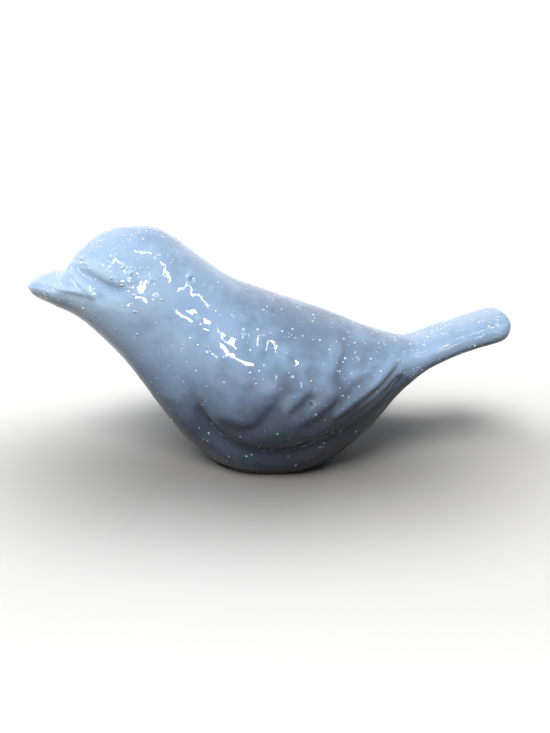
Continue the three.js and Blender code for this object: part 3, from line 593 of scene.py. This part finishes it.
def glazed_piece(name, faces, closings, *nodes):
    """One closed piece: its share of the glazed skin, and its hidden clay faces behind."""
    places = [glazed]
    hidden = []
    used = len(clay)
    for extra, extra_faces in closings:
        places.append(extra)
        hidden += [tuple(corner if corner < len(clay) else corner - len(clay) + used for corner in face)
                   for face in extra_faces]
        used += len(extra)
    places = np.concatenate(places)
    all_faces = [tuple(face) for face in faces.tolist()] + hidden
    kept = np.unique(np.concatenate([np.array(face) for face in all_faces]))
    renumber = np.full(len(places), -1)
    renumber[kept] = np.arange(len(kept))
    mesh = bpy.data.meshes.new(name)
    mesh.from_pydata(((places[kept] + [BIRD_X, 0, 0]) * MM).tolist(), [],
                     [tuple(renumber[list(face)].tolist()) for face in all_faces])
    # The pooling, with the painted light and shade in it, goes with each piece as an attribute.
    depth = mesh.attributes.new("pooling_and_painted_shade", "FLOAT", "POINT")
    depth.data.foreach_set("value", np.concatenate([pooling_and_painted_shade, np.zeros(used - len(clay))])[kept])
    mesh.shade_smooth()
    corner_normals = np.zeros((len(mesh.loops), 3))
    corner_normals[:faces.size] = outward[faces.ravel()]
    mesh.normals_split_custom_set(corner_normals.tolist())
    piece = new_object(name, mesh)
    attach(piece, "root")
    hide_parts(*nodes)
    return piece


def fan(rim, hub):
    """A rim closed by triangles that meet at a hub, facing as an open mesh's missing part would."""
    after = rim[1:] + rim[:1]
    return np.array([hub]), [(b, a, len(clay)) for a, b in zip(rim, after)]


def sheet_below(faces, depth, facing_in):
    """A second layer of some quads, this deep in the clay and joined to the first all round."""
    on_rim = {corner for rim in rims_of(faces) for corner in rim}
    inner = np.array([corner for corner in np.unique(faces) if corner not in on_rim])
    renumber = np.arange(len(clay))
    renumber[inner] = len(clay) + np.arange(len(inner))
    layer = renumber[faces] if not facing_in else renumber[faces[:, ::-1]]
    return clay[inner] - depth * clay_outward[inner], [tuple(face) for face in layer.tolist()]


# The hollow. The cast body is empty inside a wall of even thickness, and the kiln vent opens into
# it through the floor, inside the foot.
WALL = 4.0
HOLLOW_MIDDLE = np.array([0, 0, 26.0])
HOLLOW_FRONT_X = -44.0
HOLLOW_REAR_X = 30.0
HOLLOW_END_ROUND = 9.0
HOLLOW_RINGS = 30
HOLLOW_REACH = 70.0
HALVINGS = 24
# How much wider than the bore the hollow's floor starts.
BORE_MARGIN = 0.5
# These keep the divisions clear of nought at the hollow's ends.
LEAST_END_SHARE = 0.001
LEAST_REACH = 0.01


def is_hollow(place):
    """Whether places lie in the empty inside of the cast body."""
    waist, side, up, down, upper_power, lower_power = slice_at(place[:, 0])
    to_end = np.minimum(place[:, 0] - HOLLOW_FRONT_X, HOLLOW_REAR_X - place[:, 0])
    round_end = np.sqrt(1 - (1 - np.clip(to_end / HOLLOW_END_ROUND, LEAST_END_SHARE, 1)) ** 2)
    high = place[:, 2] - waist
    power = np.where(high > 0, upper_power, lower_power)
    wide = np.abs(place[:, 1]) / np.maximum((side - WALL) * round_end, LEAST_REACH)
    tall = np.abs(high) / np.maximum((np.where(high > 0, up, down) - WALL) * round_end, LEAST_REACH)
    return (wide ** power + tall ** power < 1) & (place[:, 2] > FOOT_HEIGHT + WALL) & (to_end > 0)


def hollow_inside(rim):
    """The vent's bore and the hollow above it, as a closed inner surface from the vent's rim."""
    edge = glazed[rim]
    bearing = np.arctan2(edge[:, 1], edge[:, 0])
    bore_top = edge.copy()
    bore_top[:, 2] = FOOT_HEIGHT + WALL
    rings = [bore_top]
    floor_angle = math.atan2(VENT_RADIUS + BORE_MARGIN, HOLLOW_MIDDLE[2] - FOOT_HEIGHT - WALL)
    for angle in np.linspace(floor_angle, math.pi, HOLLOW_RINGS, endpoint=False):
        ray = np.column_stack([np.cos(bearing) * math.sin(angle), np.sin(bearing) * math.sin(angle),
                               np.full(len(bearing), -math.cos(angle))])
        near, far = np.zeros(len(ray)), np.full(len(ray), HOLLOW_REACH)
        for again in range(HALVINGS):
            middle = (near + far) / 2
            within = is_hollow(HOLLOW_MIDDLE + middle[:, None] * ray)
            near, far = np.where(within, middle, near), np.where(within, far, middle)
        rings.append(HOLLOW_MIDDLE + near[:, None] * ray)
    count = len(rim)
    rows = [list(rim)] + [[len(clay) + k * count + j for j in range(count)] for k in range(len(rings))]
    hub = len(clay) + len(rings) * count
    top = np.array([[0, 0, rings[-1][:, 2].max()]])
    faces = [(low[(j + 1) % count], low[j], high[j], high[(j + 1) % count])
             for low, high in zip(rows, rows[1:]) for j in range(count)]
    faces += [(rows[-1][(j + 1) % count], rows[-1][j], hub) for j in range(count)]
    return np.concatenate(rings + [top]), faces


# How thick the wings and the eyes are behind the glaze, and the play that each joint leaves for slip.
WING_THICKNESS = 1.2
EYE_THICKNESS = 1.1
JOINT_PLAY = 0.15
tail_hub = np.array([TAIL_JOINT[0], 0, TAIL_JOINT[1]])
beak_hub = np.array([GAPE[0], 0, GAPE[1]])
share = {label: quads[clay_of_quad == label] for label in LABELS}
rim_of = {label: max(rims_of(share[label]), key=len) for label in LABELS if label != BODY}


def eye_hub(label, depth):
    """The middle of an eye pellet's back, this deep in the clay."""
    rim = rim_of[label]
    return clay[rim].mean(0) - depth * clay_outward[rim].mean(0)


def end_cap(label):
    """The closed point at the free end of the beak or the tail."""
    rim = min(rims_of(share[label]), key=len)
    return fan(rim, glazed[rim].mean(0))


body_closings = [hollow_inside(rim_of[VENT][::-1]),
                 fan(rim_of[BEAK][::-1], beak_hub + [JOINT_PLAY, 0, 0]),
                 fan(rim_of[TAIL][::-1], tail_hub - [JOINT_PLAY, 0, 0])]
for label in (LEFT_WING, RIGHT_WING):
    body_closings.append(sheet_below(share[label], WING_THICKNESS + JOINT_PLAY, False))
for label in (LEFT_EYE, RIGHT_EYE):
    body_closings.append(fan(rim_of[label][::-1], eye_hub(label, EYE_THICKNESS + JOINT_PLAY)))
glazed_pieces = [
    glazed_piece("body_glaze", share[BODY], body_closings, "body_shell"),
    glazed_piece("beak_glaze", share[BEAK], [fan(rim_of[BEAK], beak_hub), end_cap(BEAK)], "beak"),
    glazed_piece("tail_glaze", share[TAIL], [fan(rim_of[TAIL], tail_hub), end_cap(TAIL)], "tail"),
]
for node, label in (("left_wing", LEFT_WING), ("right_wing", RIGHT_WING)):
    back = sheet_below(share[label], WING_THICKNESS, True)
    glazed_pieces.append(glazed_piece(node + "_glaze", share[label], [back], node))
for node, label in (("left_eye", LEFT_EYE), ("right_eye", RIGHT_EYE)):
    back = fan(rim_of[label], eye_hub(label, EYE_THICKNESS))
    glazed_pieces.append(glazed_piece(node + "_glaze", share[label], [back], node))


# The look of the glaze. Milky and pale where it lies thin over a raised edge, deeper blue where it
# gathers, with painted light and shade on top of that: a paler head and tail, a darker lower body and
# darker tops, and painted shade in the creases. Its gloss is very slightly uneven, with patches of fine
# pimples.
GLAZE_ROUGHNESS = 0.035
GLAZE_IOR = 1.5
# How much the pooling and the painted light and shade shift the colour, and the span over which the mottling
# does.
POOLING_AND_SHADE_IN_COLOUR = 0.35
MOTTLE_LOW = 0.28
MOTTLE_HIGH = 0.72
# Colours by glaze thickness with the painted light and shade added, palest first.
GLAZE_COLOURS = [(0.1, (0.49, 0.68, 0.90)), (0.3, (0.39, 0.565, 0.80)), (0.5, (0.31, 0.46, 0.68)),
                 (0.75, (0.18, 0.265, 0.405)), (1.0, (0.075, 0.11, 0.175))]
# Noises as waves to the metre and octaves.
MOTTLE_NOISE = (160, 4)
RIPPLE_NOISE = (900, 3)
PATCH_NOISE = (230, 2)
PIMPLES_TO_THE_METRE = 1100
PIMPLE_TOP = 0.1
PIMPLE_FOOT = 0.5
PATCHES_FROM = 0.42
PATCHES_FULLY = 0.62
# Bumps as strength and height in metres.
RIPPLE_BUMP = (0.15, 0.00005)
PIMPLE_BUMP = (0.08, 0.00012)


def fill_inputs(tree, node, inputs):
    """A node's inputs set to values, or joined to other nodes' outputs."""
    for key, value in inputs.items():
        if isinstance(value, bpy.types.NodeSocket):
            tree.links.new(value, node.inputs[key])
        else:
            node.inputs[key].default_value = value


def new_node(tree, kind, inputs, operation=None):
    """A node of a kind, with its operation chosen and its inputs filled."""
    node = tree.nodes.new(kind)
    if operation:
        node.operation = operation
    fill_inputs(tree, node, inputs)
    return node


def worked_out(tree, operation, *values):
    """The outcome of a sum, product or power of values and other nodes' outputs."""
    return new_node(tree, "ShaderNodeMath", dict(enumerate(values)), operation).outputs[0]


def new_material(name, roughness):
    """A node material, as (material, node tree, shader)."""
    material = bpy.data.materials.new(name)
    material.use_nodes = True
    shader = material.node_tree.nodes["Principled BSDF"]
    shader.inputs["Roughness"].default_value = roughness
    return material, material.node_tree, shader


def colour_ramp(tree, value, stops):
    """The colour that a value has on a soft ramp through (place, colour) stops."""
    ramp = new_node(tree, "ShaderNodeValToRGB", {"Fac": value})
    ramp.color_ramp.interpolation = "EASE"
    while len(ramp.color_ramp.elements) < len(stops):
        ramp.color_ramp.elements.new(0.5)
    for element, (place, colour) in zip(ramp.color_ramp.elements, stops):
        element.position = place
        element.color = (*colour, 1)
    return ramp.outputs["Color"]


def noise_of(tree, scale, detail):
    """A noise on the piece's own coordinates, this many waves to the metre."""
    place = new_node(tree, "ShaderNodeTexCoord", {}).outputs["Object"]
    texture = new_node(tree, "ShaderNodeTexNoise", {"Vector": place, "Scale": scale, "Detail": detail})
    return texture.outputs["Fac"]


def eased(tree, value, low, high, at_low=0.0, at_high=1.0):
    """A value carried from one number at low to another at high, with soft ends."""
    eased_range = new_node(tree, "ShaderNodeMapRange", {"Value": value, "From Min": low, "From Max": high,
                                                        "To Min": at_low, "To Max": at_high})
    eased_range.interpolation_type = "SMOOTHSTEP"
    return eased_range.outputs["Result"]


def bump_of(tree, height, strength, distance, under=None):
    """The normal of a surface raised by a height, on top of an earlier bump where there is one."""
    bump = new_node(tree, "ShaderNodeBump", {"Height": height, "Strength": strength, "Distance": distance})
    if under:
        fill_inputs(tree, bump, {"Normal": under})
    return bump.outputs["Normal"]


glaze, tree, shader = new_material("blue_gloss_glaze", GLAZE_ROUGHNESS)
# The pooling attribute, which carries the painted light and shade as well.
depth = new_node(tree, "ShaderNodeAttribute", {})
depth.attribute_name = "pooling_and_painted_shade"
unevenness = new_node(tree, "ShaderNodeMapRange", {"Value": noise_of(tree, *MOTTLE_NOISE),
                                                   "To Min": MOTTLE_LOW, "To Max": MOTTLE_HIGH})
thickness_and_painted_shade = worked_out(tree, "MULTIPLY_ADD", depth.outputs["Fac"], POOLING_AND_SHADE_IN_COLOUR,
                       unevenness.outputs["Result"])
on_piece = new_node(tree, "ShaderNodeTexCoord", {})
cells = new_node(tree, "ShaderNodeTexVoronoi", {"Vector": on_piece.outputs["Object"],
                                                "Scale": PIMPLES_TO_THE_METRE})
patches = new_node(tree, "ShaderNodeMapRange", {"Value": noise_of(tree, *PATCH_NOISE),
                                                "From Min": PATCHES_FROM, "From Max": PATCHES_FULLY})
pimples = eased(tree, cells.outputs["Distance"], PIMPLE_TOP, PIMPLE_FOOT, 1.0, 0.0)
pimpled = worked_out(tree, "MULTIPLY", pimples, patches.outputs["Result"])
rippled = bump_of(tree, noise_of(tree, *RIPPLE_NOISE), *RIPPLE_BUMP)
fill_inputs(tree, shader, {"Base Color": colour_ramp(tree, thickness_and_painted_shade, GLAZE_COLOURS), "IOR": GLAZE_IOR,
                           "Normal": bump_of(tree, pimpled, *PIMPLE_BUMP, rippled)})
for piece in glazed_pieces:
    piece.data.materials.append(glaze)


# The specks. White grains that floated up through the glaze and stand a little proud of it. Their white
# is partly a painted highlight, standing in for the tiny glints on the glaze's pimples. They
# lie thickest on the head, the back, the hind part of the wings and the tail.

# Where they lie, as x, height, reach, and the share of all possible specks that is there.
SPECKED_PLACES = [(-38, 62, 14, 0.8), (-54, 54, 12, 1.0), (12, 42, 16, 0.22), (26, 32, 12, 0.4),
                  (50, 35, 18, 0.7)]
BARE_SHARE = 0.1
# The parts of a place's reach between which the specks thin out.
PLACE_FULL = 0.5
PLACE_EMPTY = 1.5
# The size of the crowded patches, and the noise at which a patch is empty and full.
SPECK_CLUMP = 3.0
CLUMP_EMPTY = -0.45
CLUMP_FULL = 0.35
# The heights above the cut belly between which the specks come in.
BASE_EMPTY = 0.5
BASE_FULL = 4.0
# How far inside the solid parts' box the specks keep.
BOX_MARGIN = 0.35
# Sizes in metres, by the names of the node tree's inputs.
SPECK_INPUTS = {"Least gap": 0.00035, "Most per square metre": 1150000.0, "Smallest radius": 0.00012,
                "Largest radius": 0.00042, "Flatness": 0.16}
SPECK_SEGMENTS = 8
SPECK_RINGS = 3
# The higher this power, the fewer large specks there are.
MOSTLY_SMALL_POWER = 3.0
# The least and most that a speck is stretched, across itself both ways and in height.
LEAST_STRETCH = (0.75, 0.75, 0.8)
MOST_STRETCH = (1.35, 1.35, 1.1)
PLACE_SEED = 7
SIZE_SEED = 11
SHAPE_SEED = 13
# Speck colours: white grains, the whitest of them also painted glints.
WHITE_SPECK_AND_GLINT_COLOURS = [(0.3, (0.62, 0.74, 0.88)), (0.65, (0.94, 0.97, 1.0))]
WHITE_GRAIN_ROUGHNESS = 0.3
WHITE_GRAIN_NOISE = (700, 2)

white_speck_and_glint, tree, shader = new_material("white_speck_and_glint_glaze", WHITE_GRAIN_ROUGHNESS)
dusting = noise_of(tree, *WHITE_GRAIN_NOISE)
fill_inputs(tree, shader, {"Base Color": colour_ramp(tree, dusting, WHITE_SPECK_AND_GLINT_COLOURS)})

speckled = np.full(len(clay), BARE_SHARE)
for x, z, reach, share_there in SPECKED_PLACES:
    away = np.hypot(clay[:, 0] - x, clay[:, 2] - z) / reach
    speckled = np.maximum(speckled, share_there * (1 - smoothstep(away, PLACE_FULL, PLACE_EMPTY)))
clumps = np.array([noise.noise(WAVE_CORNER + Vector(place) / SPECK_CLUMP) for place in clay])
speckled *= smoothstep(clumps, CLUMP_EMPTY, CLUMP_FULL) * smoothstep(from_base, BASE_EMPTY, BASE_FULL)
inside_box = np.minimum(glazed - box_low, box_high - glazed)
speckled[(inside_box < BOX_MARGIN).any(axis=1)] = 0

skin_mesh = bpy.data.meshes.new("speckled_skin")
skin_mesh.from_pydata(((glazed + [BIRD_X, 0, 0]) * MM).tolist(), [], quads.tolist())
share_attribute = skin_mesh.attributes.new("speck_share", "FLOAT", "POINT")
share_attribute.data.foreach_set("value", speckled)
skin_object = new_object("speckled_skin", skin_mesh)

scatter = bpy.data.node_groups.new("scatter_specks", "GeometryNodeTree")
scatter.interface.new_socket("Skin", in_out="INPUT", socket_type="NodeSocketGeometry")
for name in SPECK_INPUTS:
    scatter.interface.new_socket(name, in_out="INPUT", socket_type="NodeSocketFloat")
scatter.interface.new_socket("Specks", in_out="OUTPUT", socket_type="NodeSocketGeometry")
inputs = scatter.nodes.new("NodeGroupInput").outputs
share_read = new_node(scatter, "GeometryNodeInputNamedAttribute", {"Name": "speck_share"})
spread = scatter.nodes.new("GeometryNodeDistributePointsOnFaces")
spread.distribute_method = "POISSON"
fill_inputs(scatter, spread, {"Mesh": inputs["Skin"], "Distance Min": inputs["Least gap"],
                              "Density Max": inputs["Most per square metre"],
                              "Density Factor": share_read.outputs["Attribute"], "Seed": PLACE_SEED})
grain = new_node(scatter, "GeometryNodeMeshUVSphere", {"Segments": SPECK_SEGMENTS, "Rings": SPECK_RINGS,
                                                       "Radius": 1.0})
smooth = new_node(scatter, "GeometryNodeSetShadeSmooth", {"Geometry": grain.outputs["Mesh"]})
chance = new_node(scatter, "FunctionNodeRandomValue", {"Seed": SIZE_SEED})
mostly_small = worked_out(scatter, "POWER", chance.outputs[1], MOSTLY_SMALL_POWER)
radius = new_node(scatter, "ShaderNodeMapRange", {"Value": mostly_small, "To Min": inputs["Smallest radius"],
                                                  "To Max": inputs["Largest radius"]})
uneven = scatter.nodes.new("FunctionNodeRandomValue")
uneven.data_type = "FLOAT_VECTOR"
fill_inputs(scatter, uneven, {0: LEAST_STRETCH, 1: MOST_STRETCH, "Seed": SHAPE_SEED})
flattened = new_node(scatter, "ShaderNodeCombineXYZ", {0: 1.0, 1: 1.0, 2: inputs["Flatness"]})
shaped = new_node(scatter, "ShaderNodeVectorMath", {0: uneven.outputs[0], 1: flattened.outputs[0]},
                  "MULTIPLY")
sized = new_node(scatter, "ShaderNodeVectorMath", {0: shaped.outputs[0], "Scale": radius.outputs["Result"]},
                 "SCALE")
placed = new_node(scatter, "GeometryNodeInstanceOnPoints", {
    "Points": spread.outputs["Points"], "Instance": smooth.outputs["Geometry"],
    "Rotation": spread.outputs["Rotation"], "Scale": sized.outputs[0]})
realized = new_node(scatter, "GeometryNodeRealizeInstances", {"Geometry": placed.outputs["Instances"]})
painted = new_node(scatter, "GeometryNodeSetMaterial", {"Geometry": realized.outputs["Geometry"],
                                                        "Material": white_speck_and_glint})
new_node(scatter, "NodeGroupOutput", {"Specks": painted.outputs["Geometry"]})

modifier = skin_object.modifiers.new("specks", "NODES")
modifier.node_group = scatter
for item in scatter.interface.items_tree:
    if item.name in SPECK_INPUTS:
        modifier[item.identifier] = SPECK_INPUTS[item.name]
bpy.context.view_layer.update()
evaluated = skin_object.evaluated_get(bpy.context.evaluated_depsgraph_get())
speck_mesh = bpy.data.meshes.new_from_object(evaluated)
skin_object.modifiers.remove(modifier)
bpy.data.objects.remove(skin_object)
speck_mesh.name = "glaze_specks"
speck_mesh.materials.clear()
speck_mesh.materials.append(white_speck_and_glint)
speck_mesh.polygons.foreach_set("material_index", np.zeros(len(speck_mesh.polygons), int))
specks = new_object("glaze_specks", speck_mesh)
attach(specks, "root")


# The foot. A flat oval of bare buff clay, rubbed down after the firing so that the bird stands firm.
FOOT_LAND = 5.0
FOOT_SQUARENESS = 2.3
FOOT_EDGE = 0.3
FOOT_SIDES = 120
FOOT_INSET = 0.4
CLAY_ROUGHNESS = 0.85
CLAY_COLOURS = [(0.35, (0.50, 0.42, 0.32)), (0.6, (0.70, 0.62, 0.51)), (0.75, (0.78, 0.72, 0.62))]
CLAY_NOISE = (1400, 6)
CLAY_BUMP = (0.5, 0.0001)

bare_clay, tree, shader = new_material("bare_buff_clay", CLAY_ROUGHNESS)
clay_grain = noise_of(tree, *CLAY_NOISE)
fill_inputs(tree, shader, {"Base Color": colour_ramp(tree, clay_grain, CLAY_COLOURS),
                           "Normal": bump_of(tree, clay_grain, *CLAY_BUMP)})

foot_half = ((foot_high - foot_low) / 2) / MM
bearings = np.linspace(0, 2 * np.pi, FOOT_SIDES, endpoint=False)
circle = np.column_stack([np.cos(bearings), np.sin(bearings)])
oval = np.sign(circle) * np.abs(circle) ** (2 / FOOT_SQUARENESS)
outer = np.array([foot_half.x, foot_half.y]) - FOOT_INSET
inner = outer - FOOT_LAND
section = [(outer - FOOT_EDGE, 0), (outer, FOOT_EDGE),
           (outer, FOOT_HEIGHT - FOOT_EDGE), (outer - FOOT_EDGE, FOOT_HEIGHT),
           (inner + FOOT_EDGE, FOOT_HEIGHT), (inner, FOOT_HEIGHT - FOOT_EDGE),
           (inner, FOOT_EDGE), (inner + FOOT_EDGE, 0)]
foot_places = np.array([(x * reach[0] + BIRD_X, y * reach[1], z)
                        for reach, z in section for x, y in oval]) * MM
foot_faces = []
for k in range(len(section)):
    low, high = k * FOOT_SIDES, (k + 1) % len(section) * FOOT_SIDES
    for j in range(FOOT_SIDES):
        after = (j + 1) % FOOT_SIDES
        foot_faces.append((low + j, low + after, high + after, high + j))
foot_mesh = bpy.data.meshes.new("bare_clay_foot")
foot_mesh.from_pydata(foot_places.tolist(), [], foot_faces)
foot_mesh.materials.append(bare_clay)
foot = new_object("bare_clay_foot", foot_mesh)
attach(foot, "root")
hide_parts("foot_ring")


# The floor. A paper sheet that curves up into a backdrop behind the bird. It looks pale, with a painted
# shadow close to the bird. To light on its way it is nearly black, so that it throws little up at the bird.
FLOOR_HALF_WIDTH = 3.0
FLOOR_FRONT = -1.5
FLOOR_BEND_START = 0.5
FLOOR_BEND_RADIUS = 0.6
FLOOR_BEND_STEPS = 12
BACKDROP_HEIGHT = 2.0
PAPER_ROUGHNESS = 0.9
PAPER_SHEEN = 0.1
PAPER_TO_LIGHT = (0.03, 0.03, 0.03, 1)
PAINTED_SHADOW_BY_BIRD = (0.22, 0.215, 0.21, 1)
PAPER_SEEN = (0.78, 0.775, 0.765, 1)
# The bird is longer than wide, so lengths along it count for less.
FLOOR_STRETCH = (0.6, 1, 1)
# Distances from the bird's middle, in metres, between which the painted shadow fades into pale paper, and
# between which it glows, first near by and then far off, with the glow that each adds. Held off near the
# bird, the glow deepens the painted shadow there.
PAINTED_SHADOW_SPAN = (0.01, 0.07)
NEAR_GLOW_SPAN = (0.04, 0.2)
NEAR_GLOW = 0.62
FAR_GLOW_SPAN = (0.25, 1.0)
FAR_GLOW = 0.4

floor_line = [(FLOOR_FRONT, 0.0), (FLOOR_BEND_START, 0.0)]
for angle in np.linspace(0, math.pi / 2, FLOOR_BEND_STEPS + 1)[1:]:
    floor_line.append((FLOOR_BEND_START + FLOOR_BEND_RADIUS * math.sin(angle),
                       FLOOR_BEND_RADIUS * (1 - math.cos(angle))))
floor_line.append((FLOOR_BEND_START + FLOOR_BEND_RADIUS, BACKDROP_HEIGHT))
floor_places = [(side * FLOOR_HALF_WIDTH, y, z) for y, z in floor_line for side in (-1, 1)]
floor_faces = [(2 * k, 2 * k + 1, 2 * k + 3, 2 * k + 2) for k in range(len(floor_line) - 1)]
floor_mesh = bpy.data.meshes.new("floor")
floor_mesh.from_pydata(floor_places, [], floor_faces)
floor_mesh.shade_smooth()
floor = new_object("floor", floor_mesh)


def seen_directly(tree):
    """1 for what the camera sees, straight or mirrored in the glaze, and 0 for light on its way."""
    ray = new_node(tree, "ShaderNodeLightPath", {}).outputs
    mirrored = worked_out(tree, "ADD", ray["Is Glossy Ray"], ray["Is Transmission Ray"])
    seen = new_node(tree, "ShaderNodeMath", {0: ray["Is Camera Ray"], 1: mirrored}, "ADD")
    seen.use_clamp = True
    return seen.outputs[0]


def mixed_colour(tree, share, first, second):
    """Two colours mixed, with this share of the second."""
    mix = tree.nodes.new("ShaderNodeMix")
    mix.data_type = "RGBA"
    fill_inputs(tree, mix, {0: share, 6: first, 7: second})
    return mix.outputs[2]


paper, tree, shader = new_material("pale_paper", PAPER_ROUGHNESS)
place_on_floor = new_node(tree, "ShaderNodeTexCoord", {})
along_bird = new_node(tree, "ShaderNodeVectorMath", {0: place_on_floor.outputs["Object"], 1: FLOOR_STRETCH},
                      "MULTIPLY")
from_bird = new_node(tree, "ShaderNodeVectorMath", {0: along_bird.outputs[0]}, "LENGTH").outputs["Value"]
# Painted shadow: the paper is dark close to the bird and pale further off.
seen_colour = mixed_colour(tree, eased(tree, from_bird, *PAINTED_SHADOW_SPAN), PAINTED_SHADOW_BY_BIRD, PAPER_SEEN)
near_glow = eased(tree, from_bird, *NEAR_GLOW_SPAN, 0.0, NEAR_GLOW)
far_glow = eased(tree, from_bird, *FAR_GLOW_SPAN, 0.0, FAR_GLOW)
seen = seen_directly(tree)
seen_glow = worked_out(tree, "MULTIPLY", worked_out(tree, "ADD", near_glow, far_glow), seen)
fill_inputs(tree, shader, {"Base Color": mixed_colour(tree, seen, PAPER_TO_LIGHT, seen_colour),
                           "Specular IOR Level": PAPER_SHEEN, "Emission Color": (1, 1, 1, 1),
                           "Emission Strength": seen_glow})
floor_mesh.materials.append(paper)


# The light. One large soft lamp up to the left of the camera, a weaker one further round and two low
# ones behind the bird light it. The glaze mirrors none of them, but a bright room and narrow lamps.
ROOM_LIGHT = (0.86, 0.92, 1, 1)
ROOM_LIGHT_STRENGTH = 0.03
ROOM_SEEN = (0.97, 0.985, 1, 1)
LAMP_AIM = Vector((0, 0, 0.035))
# Lamps that light but aren't mirrored: name, bearing from the camera's side and height in degrees,
# distance, length and width in metres, and power in watts.
SOFT_LAMPS = [
    ("window_lamp", -17, 53, 1.5, 0.7, 0.7, 24.5),
    ("side_lamp", -70, 58, 1.5, 0.7, 0.7, 4),
    ("rear_left_lamp", -150, 12, 0.8, 0.5, 0.25, 3.2),
    ("rear_right_lamp", 145, 12, 0.8, 0.5, 0.25, 3.2),
]
# Lamps that the glaze mirrors and that light nothing else: name, bearing, height, length, width,
# turn in degrees, and power, all at one distance.
GLINT_DISTANCE = 1.5
GLINT_LAMPS = [
    ("shoulder_glint_lamp", -9, 37, 0.32, 0.09, 65, 3.2),
    ("cheek_glint_lamp", -14, 19, 0.34, 0.11, -8, 4.1),
    ("neck_glint_lamp", 28, 56, 0.62, 0.035, 53, 2.6),
    ("brow_glint_lamp", -44, 52, 0.45, 0.06, -10, 2.8),
    ("beak_glint_lamp", -80, 20, 0.8, 0.04, 0, 2.6),
    ("low_glint_lamp", -36, 3, 0.12, 0.05, 60, 0.7),
    ("ceiling_glint_lamp", 20, 78, 0.45, 0.05, 0, 2.4),
    ("tail_glint_lamp", 10, 8, 0.22, 0.12, 90, 1.0),
]


def rectangular_lamp(name, bearing, height, distance, length, width, turn, power):
    """A rectangular lamp, seen from the bird at a bearing from the camera's side and a height."""
    bearing, height = math.radians(bearing), math.radians(height)
    outward = math.cos(height)
    away = Vector((math.sin(bearing) * outward, -math.cos(bearing) * outward, math.sin(height)))
    data = bpy.data.lights.new(name, "AREA")
    data.shape = "RECTANGLE"
    data.size, data.size_y = length, width
    data.energy = power
    lamp = new_object(name, data)
    facing = away.to_track_quat("Z", "Y").to_matrix().to_4x4()
    spin = Matrix.Rotation(math.radians(turn), 4, "Z")
    lamp.matrix_world = Matrix.Translation(LAMP_AIM + away * distance) @ facing @ spin
    return lamp


world = bpy.data.worlds.new("room")
bpy.context.scene.world = world
world.use_nodes = True
tree = world.node_tree
room_light = tree.nodes["Background"]
fill_inputs(tree, room_light, {"Color": ROOM_LIGHT, "Strength": ROOM_LIGHT_STRENGTH})
room_walls = new_node(tree, "ShaderNodeBackground", {"Color": ROOM_SEEN, "Strength": 1.0})
room = new_node(tree, "ShaderNodeMixShader", {0: seen_directly(tree), 1: room_light.outputs[0],
                                              2: room_walls.outputs[0]})
fill_inputs(tree, tree.nodes["World Output"], {"Surface": room.outputs[0]})

for name, bearing, height, distance, length, width, power in SOFT_LAMPS:
    lamp = rectangular_lamp(name, bearing, height, distance, length, width, 0, power)
    lamp.visible_glossy = False
    lamp.visible_camera = False
for name, bearing, height, length, width, turn, power in GLINT_LAMPS:
    lamp = rectangular_lamp(name, bearing, height, GLINT_DISTANCE, length, width, turn, power)
    lamp.visible_diffuse = False

bpy.context.scene.view_settings.view_transform = "Standard"
